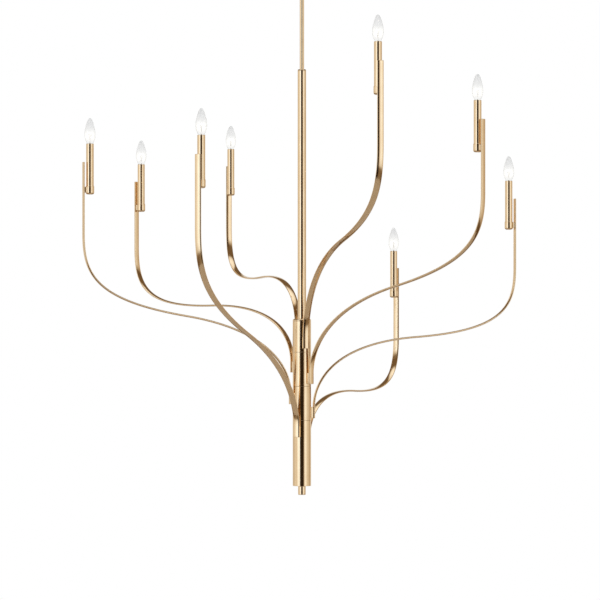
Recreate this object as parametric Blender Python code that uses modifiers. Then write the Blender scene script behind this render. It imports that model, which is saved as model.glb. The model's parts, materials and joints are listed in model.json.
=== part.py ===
"""Multi arm chandelier with eight candle lights, in metres, +Z up.

The origin is the centre of the ceiling face that the mounting bar is screwed to, so everything
hangs below it. A stem and a wider sleeve carry the hub, a stack of four collars on one pipe that a
finial clamps from below. Each collar carries two S-shaped flat arms, one on each side, and each arm
carries a candle: a cup, a tube, a lamp socket and a torpedo bulb. A collar turns about the pipe
when the finial is slackened, so that the arms fold together like a fan.
"""
import math
from typing import NamedTuple

import bmesh
import bpy
from mathutils import Vector

# ---------------------------------------------------------------- driving dimensions, in metres
GAP = 0.0003                      # clearance between pieces that touch
MERGE_DISTANCE = 0.00001

# Sides of the turned pieces
TURNED_SIDES = 24
CANOPY_SIDES = 32
CANDLE_SIDES = 16
SMALL_SIDES = 12                  # screws, the nipple and the holes for them
NUT_SIDES = 6
WIRE_HOLE_SIDES = 8

# Ceiling fitting
BAR_LENGTH = 0.112
BAR_WIDTH = 0.020
BAR_THICKNESS = 0.003
BOX_SCREW_SPACING = 0.089         # between the holes that take the ceiling box's screws
BOX_SCREW_HOLE_RADIUS = 0.0025
DRILL_OVERRUN = 0.0010            # how far a drill stands out of what it cuts
NIPPLE_WALL = 0.0014
NIPPLE_LENGTH = 0.034
NUT_WALL = 0.0025                 # from the nut's bore to its flats
NUT_HEIGHT = 0.0045
CANOPY_RADIUS = 0.065
CANOPY_DEPTH = 0.028
CANOPY_CORNER = 0.012             # radius of the canopy's rounded lower edge
CANOPY_CORNER_STEPS = 4
CANOPY_WALL = 0.0012
CANOPY_SCREW_SPACING = 0.070
CANOPY_SCREW_RADIUS = 0.0019
CANOPY_KNOB_RADIUS = 0.0048
CANOPY_KNOB_HEIGHT = 0.0065
KNOB_SIDE_HEIGHT = 0.0033         # the upright side of a knob, above its dome
KNOB_FACE_RADIUS = 0.0029         # where the dome ends
KNOB_FACE_RISE = 0.0006
RING_WALL = 0.0042
RING_HEIGHT = 0.0080

# Stem and sleeve
STEM_RADIUS = 0.0065
STEM_WALL = 0.0012
STEM_LENGTH = 0.364               # from below the lock nut to its end inside the sleeve
STEM_INSERTION = 0.020            # how much of the stem is inside the sleeve
SLEEVE_RADIUS = 0.0125
SLEEVE_WALL = 0.0012
SLEEVE_LENGTH = 0.729
SLEEVE_CAP_HEIGHT = 0.0040
SLEEVE_CAP_CHAMFER = 0.0018
SLEEVE_PLUG_DEPTH = 0.0060
COUPLER_WALL = 0.0022
COUPLER_LENGTH = 0.040

# Hub
PIPE_WALL = 0.0015
HUB_RADIUS = 0.0270
HUB_WALL = 0.0030
HUB_CAP_HEIGHT = 0.0060
HUB_CAP_CHAMFER = 0.0022
COLLAR_HEIGHTS = (0.091, 0.100, 0.100, 0.192)
COLLAR_WEB = 0.0040               # thickness of the web that centres a collar on the pipe
BASE_THICKNESS = 0.0040
BASE_LEDGE = 0.0012               # depth of the step in the last collar that the base bears on
WASHER_RADIUS = 0.0095
WASHER_THICKNESS = 0.0008
FINIAL_RADIUS = 0.01125
FINIAL_LENGTH = 0.0250
FINIAL_BORE_DEPTH = 0.0150
FINIAL_CHAMFER = 0.0010
PIPE_HOLE_RADIUS = 0.0032         # where the wires leave the pipe inside each collar

# Arms: a flat tube with crowned faces, broad across the arm's plane
ARM_WIDTH = 0.0185
ARM_THICKNESS = 0.0060
ARM_EDGE = 0.0024                 # height of the flat narrow faces
ARM_SHOULDER = 0.0016             # how far the rounded shoulder reaches in from each narrow face
SHOULDER_SHARE = 2 / 3            # how much of the crown's rise the shoulder makes
ARM_WALL = 0.0012
FOOT_STANDOFF = 0.0060            # from the hub's side to the inner face of an arm
FOOT_BLOCK_HEIGHT = 0.0330
FOOT_BLOCK_WIDTH = 0.0150
CANDLE_REACH = 0.637              # axis to the middle of a candle
CUP_STANDOFF = 0.0037             # from a cup's side to the inner face of its arm
MIDDLE_SHARE = 0.506              # how far out the middle of the S lies, between foot and top
FOOT_HANDLE = 0.23                # shape of the lower bend: length of its two handles as a share
MIDDLE_HANDLE_IN = 0.93
MIDDLE_HANDLE_OUT = 0.90          # shape of the upper bend
TOP_HANDLE = 0.62
TOP_BEND_RISE = 0.186             # the arm is straight from this far above its upper corner
BEND_STEPS = 8
WIRE_HOLE_RADIUS = 0.0022

# Candles
TUBE_RADIUS = 0.0110
TUBE_WALL = 0.0009
CANDLE_LENGTH = 0.146             # underside of the cup to the top of the tube
CUP_WALL = 0.0010
CUP_HEIGHT = 0.0240
CUP_FLOOR = 0.0040
CUP_LEDGE = 0.0120                # height of the ledge that the tube stands on
CUP_DOME = 0.0055                 # height of the cup's rounded underside
CUP_DOME_STEPS = 3
CUP_FOOT_SHARE = 0.45             # how much of the cup's radius is the flat under its dome
BRIDGE_WIDTH = 0.0150
BRIDGE_HEIGHT = 0.0170
BRIDGE_BELOW_RIM = 0.0020
ARM_ABOVE_CUP = 0.0690            # how far the arm's end stands above the cup's rim
SOCKET_CLEARANCE = 0.0013         # from the socket to the inside of the candle tube
SOCKET_LENGTH = 0.045
SOCKET_POST_RADIUS = 0.0040
SOCKET_BELOW_TUBE = 0.0030
BASE_RADIUS = 0.0059              # lamp base, a small screw cap
BASE_LENGTH = 0.0220
BULB_RADIUS = 0.01588
BULB_HEIGHT = 0.0735              # above the top of the candle tube


class Arm(NamedTuple):
    """One arm. The heights are measured from the top of the hub."""
    azimuth: float                # degrees from the front (-Y), anticlockwise seen from above
    collar: int                   # 1 is the highest collar
    foot_rise: float              # foot above the lower face of its collar
    middle: float                 # height of the middle of the S
    slope: float                  # slope of the arm there, in degrees
    candle_top: float


ARMS = (
    Arm(azimuth=19.0, collar=1, foot_rise=0.011, middle=0.224, slope=14.0, candle_top=0.762),
    Arm(azimuth=200.5, collar=1, foot_rise=0.047, middle=0.125, slope=-3.6, candle_top=0.530),
    Arm(azimuth=50.5, collar=2, foot_rise=0.007, middle=0.096, slope=14.0, candle_top=0.615),
    Arm(azimuth=230.9, collar=2, foot_rise=0.040, middle=0.039, slope=-1.4, candle_top=0.473),
    Arm(azimuth=103.7, collar=3, foot_rise=0.006, middle=-0.054, slope=4.1, candle_top=0.412),
    Arm(azimuth=286.9, collar=3, foot_rise=0.048, middle=0.009, slope=9.5, candle_top=0.505),
    Arm(azimuth=153.1, collar=4, foot_rise=0.103, middle=-0.221, slope=-3.0, candle_top=0.209),
    Arm(azimuth=334.3, collar=4, foot_rise=0.144, middle=-0.043, slope=20.0, candle_top=0.508),
)

# ---------------------------------------------------------------- sizes and heights that follow
STEM_BORE = STEM_RADIUS - STEM_WALL
NIPPLE_RADIUS = STEM_BORE - GAP
NIPPLE_TOP = -2 * GAP
NUT_TOP = -BAR_THICKNESS - GAP
STEM_TOP = NUT_TOP - NUT_HEIGHT - GAP
STEM_END = STEM_TOP - STEM_LENGTH
RING_TOP = -CANOPY_DEPTH - GAP
SLEEVE_CAP_TOP = STEM_END + STEM_INSERTION
SLEEVE_TOP = SLEEVE_CAP_TOP - SLEEVE_CAP_HEIGHT - GAP
HUB_TOP = SLEEVE_TOP - SLEEVE_LENGTH - GAP
FIRST_COLLAR_TOP = HUB_TOP - HUB_CAP_HEIGHT - GAP
PIPE_TOP = STEM_END - GAP
PIPE_RADIUS = STEM_RADIUS
PIPE_CLEAR_RADIUS = PIPE_RADIUS + GAP
FOOT_REACH = HUB_RADIUS + FOOT_STANDOFF + ARM_THICKNESS / 2      # axis to the middle of a foot
HUB_BOTTOM = FIRST_COLLAR_TOP - sum(COLLAR_HEIGHTS) - GAP * (len(COLLAR_HEIGHTS) - 1)
WASHER_TOP = HUB_BOTTOM - GAP
FINIAL_TOP = WASHER_TOP - WASHER_THICKNESS - GAP
PIPE_END = FINIAL_TOP - FINIAL_BORE_DEPTH + 2 * GAP
CUP_RADIUS = TUBE_RADIUS + GAP + CUP_WALL
ARM_TO_CANDLE = CUP_RADIUS + CUP_STANDOFF + ARM_THICKNESS / 2    # middle to middle at the cup
TOP_REACH = CANDLE_REACH + ARM_TO_CANDLE
SOCKET_RADIUS = TUBE_RADIUS - TUBE_WALL - SOCKET_CLEARANCE
ARM_END_BELOW_TUBE = CANDLE_LENGTH - CUP_HEIGHT - ARM_ABOVE_CUP

BRASS = ((0.80, 0.62, 0.40), 1.0, 0.22)
STEEL = ((0.62, 0.62, 0.62), 1.0, 0.35)
PORCELAIN = ((0.85, 0.82, 0.76), 0.0, 0.40)
GLASS = ((0.95, 0.93, 0.88), 0.0, 0.05)


# ---------------------------------------------------------------- modelling helpers
def clear_scene():
    """Remove the objects that the scene starts with."""
    for piece in list(bpy.data.objects):
        bpy.data.objects.remove(piece, do_unlink=True)


def new_collection(name):
    collection = bpy.data.collections.new(name)
    bpy.context.scene.collection.children.link(collection)
    return collection


def new_object(name, data, collection):
    piece = bpy.data.objects.new(name, data)
    collection.objects.link(piece)
    return piece


def give_material(piece, look):
    """Give a piece its own material from a look: colour, metallic, roughness."""
    colour, metallic, roughness = look
    material = bpy.data.materials.new(piece.name + "_finish")
    material.use_nodes = True
    shader = material.node_tree.nodes["Principled BSDF"]
    shader.inputs["Base Color"].default_value = (*colour, 1.0)
    shader.inputs["Metallic"].default_value = metallic
    shader.inputs["Roughness"].default_value = roughness
    piece.data.materials.append(material)


def shade(piece, degrees=35.0):
    """Shade smooth, keeping the edges sharp that turn more than the given angle."""
    piece.data.shade_smooth()
    piece.data.set_sharp_from_angle(angle=math.radians(degrees))


def place(piece, location, turn=0.0, parent=None):
    """Place a piece at a world location, turned about its Z axis, under an unturned parent."""
    anchor = parent.location if parent else Vector((0.0, 0.0, 0.0))
    piece.parent = parent
    piece.location = Vector(location) - anchor
    piece.rotation_euler.z = turn


def add_boolean(piece, operation, other):
    modifier = piece.modifiers.new(operation.lower() + "_" + other.name, "BOOLEAN")
    modifier.operation = operation
    modifier.solver = "EXACT"
    modifier.object = other


def hide_tool(tool):
    """Mark an object as a cutter or a filler that is no part of the chandelier."""
    tool.hide_render = True
    tool.display_type = "WIRE"


def turned(name, profile, sides, collection):
    """Turn a profile of (radius, height) points about Z.

    The profile runs down its outer side. It either starts and ends on the axis or is a closed ring.
    """
    mesh = bpy.data.meshes.new(name)
    solid = profile[0][0] == 0.0
    points = [(radius, 0.0, height) for radius, height in profile]
    edges = [(i, i + 1) for i in range(len(points) - 1)]
    if not solid:
        edges.append((len(points) - 1, 0))
    mesh.from_pydata(points, edges, [])
    piece = new_object(name, mesh, collection)
    screw = piece.modifiers.new("turn", "SCREW")
    screw.steps = sides
    screw.render_steps = sides
    screw.use_merge_vertices = True
    screw.merge_threshold = MERGE_DISTANCE
    screw.use_normal_calculate = False
    return piece


def ring_profile(outer, inner, top, bottom):
    return [(outer, top), (outer, bottom), (inner, bottom), (inner, top)]


def rod_profile(radius, top, bottom):
    return [(0.0, top), (radius, top), (radius, bottom), (0.0, bottom)]


def box(name, size, centre, collection):
    """An axis-aligned box with its own centre as its place in the mesh."""
    mesh = bpy.data.meshes.new(name)
    shape = bmesh.new()
    bmesh.ops.create_cube(shape, size=1.0)
    for corner in shape.verts:
        corner.co = Vector(corner.co[i] * size[i] + centre[i] for i in range(3))
    shape.to_mesh(mesh)
    shape.free()
    return new_object(name, mesh, collection)


def radial_rod(name, radius, start, end, height, collection):
    """A rod along local +X from start to end at a height, to cut a hole for wires."""
    mesh = bpy.data.meshes.new(name)
    shape = bmesh.new()
    bmesh.ops.create_cone(shape, cap_ends=True, segments=WIRE_HOLE_SIDES, radius1=radius,
                          radius2=radius, depth=end - start)
    for point in shape.verts:
        across, up, along = point.co
        point.co = Vector(((start + end) / 2 + along, across, height + up))
    shape.to_mesh(mesh)
    shape.free()
    return new_object(name, mesh, collection)


def swept(name, path, section, collection):
    """Sweep a closed section along a path that lies in the local XY plane, and weld its ends.

    The section's first coordinate lies in the plane, and its second stands out of it.
    """
    outline = bpy.data.curves.new(name + "_section", "CURVE")
    outline.dimensions = "2D"
    ring = outline.splines.new("POLY")
    ring.points.add(len(section) - 1)
    for point, (across, out) in zip(ring.points, section):
        point.co = (across, out, 0.0, 1.0)
    ring.use_cyclic_u = True
    outline_object = new_object(outline.name, outline, collection)

    route = bpy.data.curves.new(name + "_route", "CURVE")
    route.dimensions = "2D"
    route.fill_mode = "NONE"
    route.bevel_mode = "OBJECT"
    route.bevel_object = outline_object
    route.use_fill_caps = True
    line = route.splines.new("POLY")
    line.points.add(len(path) - 1)
    for point, (along, up) in zip(line.points, path):
        point.co = (along, up, 0.0, 1.0)
    route_object = new_object(route.name, route, collection)

    bpy.context.view_layer.update()
    evaluated = route_object.evaluated_get(bpy.context.evaluated_depsgraph_get())
    mesh = bpy.data.meshes.new_from_object(evaluated)
    mesh.name = name
    shape = bmesh.new()
    shape.from_mesh(mesh)
    bmesh.ops.remove_doubles(shape, verts=shape.verts, dist=MERGE_DISTANCE)
    bmesh.ops.recalc_face_normals(shape, faces=shape.faces)
    shape.to_mesh(mesh)
    shape.free()
    mesh.materials.clear()
    bpy.data.objects.remove(route_object)
    bpy.data.objects.remove(outline_object)
    return new_object(name, mesh, collection)


# ---------------------------------------------------------------- ceiling fitting and stem
def make_ceiling_fitting(parts, tools):
    """The bar on the ceiling, the canopy that hides it, and what holds the stem to it."""
    bar = box("mounting_bar", (BAR_LENGTH, BAR_WIDTH, BAR_THICKNESS), (0, 0, -BAR_THICKNESS / 2),
              parts)
    holes = [(0.0, NIPPLE_RADIUS + GAP)]
    for side in (-1, 1):
        holes.append((side * CANOPY_SCREW_SPACING / 2, CANOPY_SCREW_RADIUS + GAP))
        holes.append((side * BOX_SCREW_SPACING / 2, BOX_SCREW_HOLE_RADIUS))
    for number, (distance, radius) in enumerate(holes, 1):
        profile = rod_profile(radius, DRILL_OVERRUN, -BAR_THICKNESS - DRILL_OVERRUN)
        drill = turned(f"bar_drill_{number}", profile, SMALL_SIDES, tools)
        place(drill, (distance, 0, 0))
        hide_tool(drill)
        add_boolean(bar, "DIFFERENCE", drill)

    profile = ring_profile(NIPPLE_RADIUS, NIPPLE_RADIUS - NIPPLE_WALL, NIPPLE_TOP,
                           NIPPLE_TOP - NIPPLE_LENGTH)
    nipple = turned("ceiling_nipple", profile, SMALL_SIDES, parts)
    nut_bottom = NUT_TOP - NUT_HEIGHT
    nut_radius = (NIPPLE_RADIUS + NUT_WALL) / math.cos(math.pi / NUT_SIDES)
    nut = turned("lock_nut", rod_profile(nut_radius, NUT_TOP, nut_bottom), NUT_SIDES, parts)
    profile = rod_profile(NIPPLE_RADIUS + GAP, NUT_TOP + DRILL_OVERRUN, nut_bottom - DRILL_OVERRUN)
    nut_drill = turned("nut_drill", profile, SMALL_SIDES, tools)
    hide_tool(nut_drill)
    add_boolean(nut, "DIFFERENCE", nut_drill)

    canopy = turned("canopy", canopy_profile(), CANOPY_SIDES, parts)
    ring_bore = STEM_RADIUS + GAP
    profile = ring_profile(ring_bore + RING_WALL, ring_bore, RING_TOP, RING_TOP - RING_HEIGHT)
    ring = turned("canopy_ring", profile, TURNED_SIDES, parts)
    for piece in (bar, nipple, nut):
        give_material(piece, STEEL)
    for piece in (canopy, ring):
        give_material(piece, BRASS)

    for number, side in enumerate((-1, 1), 1):
        seat = (side * CANOPY_SCREW_SPACING / 2, 0, 0)
        screw = turned(f"canopy_screw_{number}", canopy_screw_profile(), SMALL_SIDES, parts)
        place(screw, seat)
        give_material(screw, BRASS)
        profile = rod_profile(CANOPY_SCREW_RADIUS + GAP, -CANOPY_DEPTH + CANOPY_WALL + DRILL_OVERRUN,
                              -CANOPY_DEPTH - DRILL_OVERRUN)
        drill = turned(f"canopy_drill_{number}", profile, SMALL_SIDES, tools)
        place(drill, seat)
        hide_tool(drill)
        add_boolean(canopy, "DIFFERENCE", drill)


def canopy_profile():
    """A shallow dish, open at the ceiling, with a rounded lower edge and a hole for the stem."""
    turns = [math.pi / 2 * i / CANOPY_CORNER_STEPS for i in range(CANOPY_CORNER_STEPS + 1)]
    middle = (CANOPY_RADIUS - CANOPY_CORNER, -CANOPY_DEPTH + CANOPY_CORNER)
    outside = [(middle[0] + CANOPY_CORNER * math.cos(a), middle[1] - CANOPY_CORNER * math.sin(a))
               for a in turns]
    inner_corner = CANOPY_CORNER - CANOPY_WALL
    inside = [(middle[0] + inner_corner * math.cos(a), middle[1] - inner_corner * math.sin(a))
              for a in reversed(turns)]
    hole = STEM_RADIUS + GAP
    return ([(CANOPY_RADIUS, 0.0)] + outside
            + [(hole, -CANOPY_DEPTH), (hole, -CANOPY_DEPTH + CANOPY_WALL)]
            + inside + [(CANOPY_RADIUS - CANOPY_WALL, 0.0)])


def canopy_screw_profile():
    """A thin screw from the bar down through the canopy, with a domed knob under it."""
    knob_top = -CANOPY_DEPTH - GAP
    knob_bottom = knob_top - CANOPY_KNOB_HEIGHT
    return [(0.0, NIPPLE_TOP), (CANOPY_SCREW_RADIUS, NIPPLE_TOP), (CANOPY_SCREW_RADIUS, knob_top),
            (CANOPY_KNOB_RADIUS, knob_top), (CANOPY_KNOB_RADIUS, knob_top - KNOB_SIDE_HEIGHT),
            (KNOB_FACE_RADIUS, knob_bottom + KNOB_FACE_RISE), (0.0, knob_bottom)]


def make_stem(parts):
    """The stem, the wider sleeve below it, and the coupler that joins the stem to the hub's pipe."""
    stem = turned("stem_rod", ring_profile(STEM_RADIUS, STEM_BORE, STEM_TOP, STEM_END), TURNED_SIDES,
                  parts)
    plug_radius = SLEEVE_RADIUS - SLEEVE_WALL - GAP
    cap_bottom = SLEEVE_CAP_TOP - SLEEVE_CAP_HEIGHT
    plug_bottom = cap_bottom - SLEEVE_PLUG_DEPTH
    cap = turned("sleeve_cap", [
        (SLEEVE_RADIUS - SLEEVE_CAP_CHAMFER, SLEEVE_CAP_TOP),
        (SLEEVE_RADIUS, SLEEVE_CAP_TOP - SLEEVE_CAP_CHAMFER), (SLEEVE_RADIUS, cap_bottom),
        (plug_radius, cap_bottom), (plug_radius, plug_bottom),
        (STEM_RADIUS + GAP, plug_bottom), (STEM_RADIUS + GAP, SLEEVE_CAP_TOP)], TURNED_SIDES, parts)
    profile = ring_profile(SLEEVE_RADIUS, SLEEVE_RADIUS - SLEEVE_WALL, SLEEVE_TOP,
                           SLEEVE_TOP - SLEEVE_LENGTH)
    sleeve = turned("sleeve_tube", profile, TURNED_SIDES, parts)
    coupler_top = min(STEM_END + COUPLER_LENGTH / 2, plug_bottom - GAP)
    profile = ring_profile(PIPE_CLEAR_RADIUS + COUPLER_WALL, PIPE_CLEAR_RADIUS, coupler_top,
                           coupler_top - COUPLER_LENGTH)
    coupler = turned("stem_coupler", profile, TURNED_SIDES, parts)
    for piece in (stem, cap, sleeve):
        give_material(piece, BRASS)
    give_material(coupler, STEEL)


# ---------------------------------------------------------------- hub
def collar_top(number):
    """Height of the top of a collar, counted from 1 at the top of the stack."""
    return FIRST_COLLAR_TOP - sum(COLLAR_HEIGHTS[:number - 1]) - GAP * (number - 1)


def collar_bottom(number):
    return collar_top(number) - COLLAR_HEIGHTS[number - 1]


def foot_height(arm):
    """Height of the lower end of an arm."""
    return collar_bottom(arm.collar) + arm.foot_rise


def heading(arm):
    """The arm's direction as an angle from +X."""
    return math.radians(arm.azimuth - 90.0)


def collar_profile(number):
    """A tube with a web at its top that centres it on the pipe."""
    top = collar_top(number)
    bottom = collar_bottom(number)
    inner = HUB_RADIUS - HUB_WALL
    profile = [(HUB_RADIUS, top), (HUB_RADIUS, bottom)]
    if number == len(COLLAR_HEIGHTS):
        step = bottom + BASE_THICKNESS + GAP
        profile += [(inner + BASE_LEDGE, bottom), (inner + BASE_LEDGE, step), (inner, step)]
    else:
        profile.append((inner, bottom))
    web_bottom = top - COLLAR_WEB
    return profile + [(inner, web_bottom), (PIPE_CLEAR_RADIUS, web_bottom), (PIPE_CLEAR_RADIUS, top)]


def make_hub(parts, tools, pivots):
    """The pipe, the cap, four collars with their standoff blocks, the base and the finial."""
    profile = ring_profile(PIPE_RADIUS, PIPE_RADIUS - PIPE_WALL, PIPE_TOP, PIPE_END)
    pipe = turned("core_pipe", profile, TURNED_SIDES, parts)
    give_material(pipe, STEEL)
    cap = turned("hub_cap", [
        (HUB_RADIUS - HUB_CAP_CHAMFER, HUB_TOP), (HUB_RADIUS, HUB_TOP - HUB_CAP_CHAMFER),
        (HUB_RADIUS, HUB_TOP - HUB_CAP_HEIGHT), (PIPE_CLEAR_RADIUS, HUB_TOP - HUB_CAP_HEIGHT),
        (PIPE_CLEAR_RADIUS, HUB_TOP)], TURNED_SIDES, parts)
    give_material(cap, BRASS)

    for number in range(1, len(COLLAR_HEIGHTS) + 1):
        top = collar_top(number)
        profile = [(radius, height - top) for radius, height in collar_profile(number)]
        collar = turned(f"collar_{number}", profile, TURNED_SIDES, parts)
        place(collar, (0, 0, top), parent=pivots[number])
        for index, arm in enumerate(ARMS, 1):
            if arm.collar == number:
                add_boolean(collar, "UNION", foot_block(index, arm, tools))
        for index, arm in enumerate(ARMS, 1):
            if arm.collar == number:
                add_boolean(collar, "DIFFERENCE", tools.objects[f"foot_wire_way_{index}"])
        give_material(collar, BRASS)
        wire_height = (top - COLLAR_WEB + collar_bottom(number)) / 2
        way = radial_rod(f"pipe_wire_way_{number}", PIPE_HOLE_RADIUS, 0.0, 2 * PIPE_RADIUS, wire_height,
                         tools)
        hide_tool(way)
        add_boolean(pipe, "DIFFERENCE", way)

    inner = HUB_RADIUS - HUB_WALL
    profile = ring_profile(inner + BASE_LEDGE - GAP, PIPE_CLEAR_RADIUS, HUB_BOTTOM + BASE_THICKNESS,
                           HUB_BOTTOM)
    base = turned("hub_base", profile, TURNED_SIDES, parts)
    profile = ring_profile(WASHER_RADIUS, PIPE_CLEAR_RADIUS, WASHER_TOP, WASHER_TOP - WASHER_THICKNESS)
    washer = turned("finial_washer", profile, TURNED_SIDES, parts)
    finial_bottom = FINIAL_TOP - FINIAL_LENGTH
    bore_end = FINIAL_TOP - FINIAL_BORE_DEPTH
    finial = turned("finial", [
        (0.0, bore_end), (PIPE_CLEAR_RADIUS, bore_end), (PIPE_CLEAR_RADIUS, FINIAL_TOP),
        (FINIAL_RADIUS, FINIAL_TOP), (FINIAL_RADIUS, finial_bottom + FINIAL_CHAMFER),
        (FINIAL_RADIUS - FINIAL_CHAMFER, finial_bottom), (0.0, finial_bottom)], TURNED_SIDES, parts)
    for piece in (base, finial):
        give_material(piece, BRASS)
    give_material(washer, STEEL)


def foot_block(index, arm, tools):
    """The block that stands an arm's foot off its collar, and the way through it for the wires."""
    half_width = FOOT_BLOCK_WIDTH / 2
    # The block's inner corners end inside the collar's wall
    start = math.sqrt(HUB_RADIUS ** 2 - half_width ** 2) - HUB_WALL / 4
    end = FOOT_REACH - ARM_THICKNESS / 2 - GAP
    low = foot_height(arm)
    middle = low + FOOT_BLOCK_HEIGHT / 2
    block = box(f"foot_block_{index}", (end - start, FOOT_BLOCK_WIDTH, FOOT_BLOCK_HEIGHT),
                ((start + end) / 2, 0, middle), tools)
    way = radial_rod(f"foot_wire_way_{index}", WIRE_HOLE_RADIUS, HUB_RADIUS - 2 * HUB_WALL, FOOT_REACH,
                     middle, tools)
    for tool in (block, way):
        tool.rotation_euler.z = heading(arm)
        hide_tool(tool)
    return block


# ---------------------------------------------------------------- arms
def bend(start, start_handle, end_handle, end):
    """Points of a cubic curve after its first point."""
    points = []
    for step in range(1, BEND_STEPS + 1):
        t = step / BEND_STEPS
        weights = ((1 - t) ** 3, 3 * (1 - t) ** 2 * t, 3 * (1 - t) * t * t, t ** 3)
        corners = (start, start_handle, end_handle, end)
        points.append(tuple(sum(w * c[axis] for w, c in zip(weights, corners)) for axis in (0, 1)))
    return points


def toward(start, end, share):
    return (start[0] + (end[0] - start[0]) * share, start[1] + (end[1] - start[1]) * share)


def arm_path(arm, inset=0.0):
    """The middle line of an arm as (distance from the axis, height), from its foot to its top.

    The foot and the top are upright. A sloping line through the middle of the S meets the two
    uprights at its corners, and each bend is drawn towards its corner.
    """
    middle = (FOOT_REACH + (TOP_REACH - FOOT_REACH) * MIDDLE_SHARE, HUB_TOP + arm.middle)
    slope = math.tan(math.radians(arm.slope))
    low_corner = (FOOT_REACH, middle[1] - (middle[0] - FOOT_REACH) * slope)
    high_corner = (TOP_REACH, middle[1] + (TOP_REACH - middle[0]) * slope)
    foot = (FOOT_REACH, foot_height(arm) + inset)
    low_start = (FOOT_REACH, foot_height(arm) + FOOT_BLOCK_HEIGHT)
    high_end = (TOP_REACH, high_corner[1] + TOP_BEND_RISE)
    top = (TOP_REACH, HUB_TOP + arm.candle_top - ARM_END_BELOW_TUBE - inset)
    lower = bend(low_start, toward(low_start, low_corner, FOOT_HANDLE),
                 toward(middle, low_corner, MIDDLE_HANDLE_IN), middle)
    upper = bend(middle, toward(middle, high_corner, MIDDLE_HANDLE_OUT),
                 toward(high_end, high_corner, TOP_HANDLE), high_end)
    return [foot, low_start] + lower + upper + [top]


def arm_section():
    """The arm's section: narrow flat edges, rounded shoulders and crowned broad faces."""
    half_width = ARM_WIDTH / 2
    half_edge = ARM_EDGE / 2
    shoulder = half_width - ARM_SHOULDER
    shoulder_height = half_edge + (ARM_THICKNESS / 2 - half_edge) * SHOULDER_SHARE
    face = [(half_edge, half_width), (shoulder_height, shoulder), (ARM_THICKNESS / 2, 0.0),
            (shoulder_height, -shoulder), (half_edge, -half_width)]
    return face + [(-across, -out) for across, out in face]


def hollow_section():
    half_width = ARM_WIDTH / 2 - ARM_WALL - ARM_SHOULDER / 2
    half_height = ARM_THICKNESS / 2 - ARM_WALL
    return [(half_height, half_width), (half_height, -half_width),
            (-half_height, -half_width), (-half_height, half_width)]


def cup_height(arm):
    """Height of the underside of an arm's cup."""
    return HUB_TOP + arm.candle_top - CANDLE_LENGTH


def make_arm(index, arm, parts, tools, pivot):
    """A hollow arm with a hole for the wires at its foot and one at its cup."""
    piece = swept(f"arm_{index}", arm_path(arm), arm_section(), parts)
    hollow = swept(f"arm_hollow_{index}", arm_path(arm, inset=ARM_WALL), hollow_section(), tools)
    wire_height = cup_height(arm) + (CUP_FLOOR + CUP_LEDGE) / 2
    way = radial_rod(f"cup_wire_way_{index}", WIRE_HOLE_RADIUS, CANDLE_REACH, TOP_REACH, wire_height,
                     tools)
    way.rotation_euler.z = heading(arm)
    for tool in (hollow, way):
        hide_tool(tool)
    for swept_piece, parent in ((piece, pivot), (hollow, None)):
        place(swept_piece, (0, 0, 0), heading(arm), parent)
        swept_piece.rotation_euler.x = math.pi / 2
    for tool in (hollow, tools.objects[f"foot_wire_way_{index}"], way):
        add_boolean(piece, "DIFFERENCE", tool)
    give_material(piece, BRASS)


# ---------------------------------------------------------------- candles
def make_cup(index, arm, seat, parts, tools, pivot):
    """A round-bottomed cup, with a bridge to the arm and a stepped bore for the tube."""
    outer = [(0.0, CUP_HEIGHT), (CUP_RADIUS, CUP_HEIGHT), (CUP_RADIUS, CUP_DOME)]
    foot = CUP_RADIUS * CUP_FOOT_SHARE
    for step in range(1, CUP_DOME_STEPS):
        angle = math.pi / 2 * step / CUP_DOME_STEPS
        outer.append((foot + (CUP_RADIUS - foot) * math.cos(angle), CUP_DOME * (1 - math.sin(angle))))
    outer += [(foot, 0.0), (0.0, 0.0)]
    cup = turned(f"candle_cup_{index}", outer, CANDLE_SIDES, parts)

    bridge_end = ARM_TO_CANDLE - ARM_THICKNESS / 2 - GAP
    bridge_start = TUBE_RADIUS / 2             # inside the bore, which is cut afterwards
    bridge_top = CUP_HEIGHT - BRIDGE_BELOW_RIM
    bridge = box(f"bridge_{index}", (bridge_end - bridge_start, BRIDGE_WIDTH, BRIDGE_HEIGHT),
                 ((bridge_start + bridge_end) / 2, 0, bridge_top - BRIDGE_HEIGHT / 2), tools)
    bore = turned(f"cup_bore_{index}", [
        (0.0, 2 * CUP_HEIGHT), (TUBE_RADIUS + GAP, 2 * CUP_HEIGHT), (TUBE_RADIUS + GAP, CUP_LEDGE),
        (TUBE_RADIUS - TUBE_WALL, CUP_LEDGE), (TUBE_RADIUS - TUBE_WALL, CUP_FLOOR), (0.0, CUP_FLOOR)],
        CANDLE_SIDES, tools)
    for tool in (bridge, bore):
        place(tool, seat, heading(arm))
        hide_tool(tool)
    place(cup, seat, heading(arm), pivot)
    add_boolean(cup, "UNION", bridge)
    add_boolean(cup, "DIFFERENCE", bore)
    add_boolean(cup, "DIFFERENCE", tools.objects[f"cup_wire_way_{index}"])
    give_material(cup, BRASS)


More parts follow.
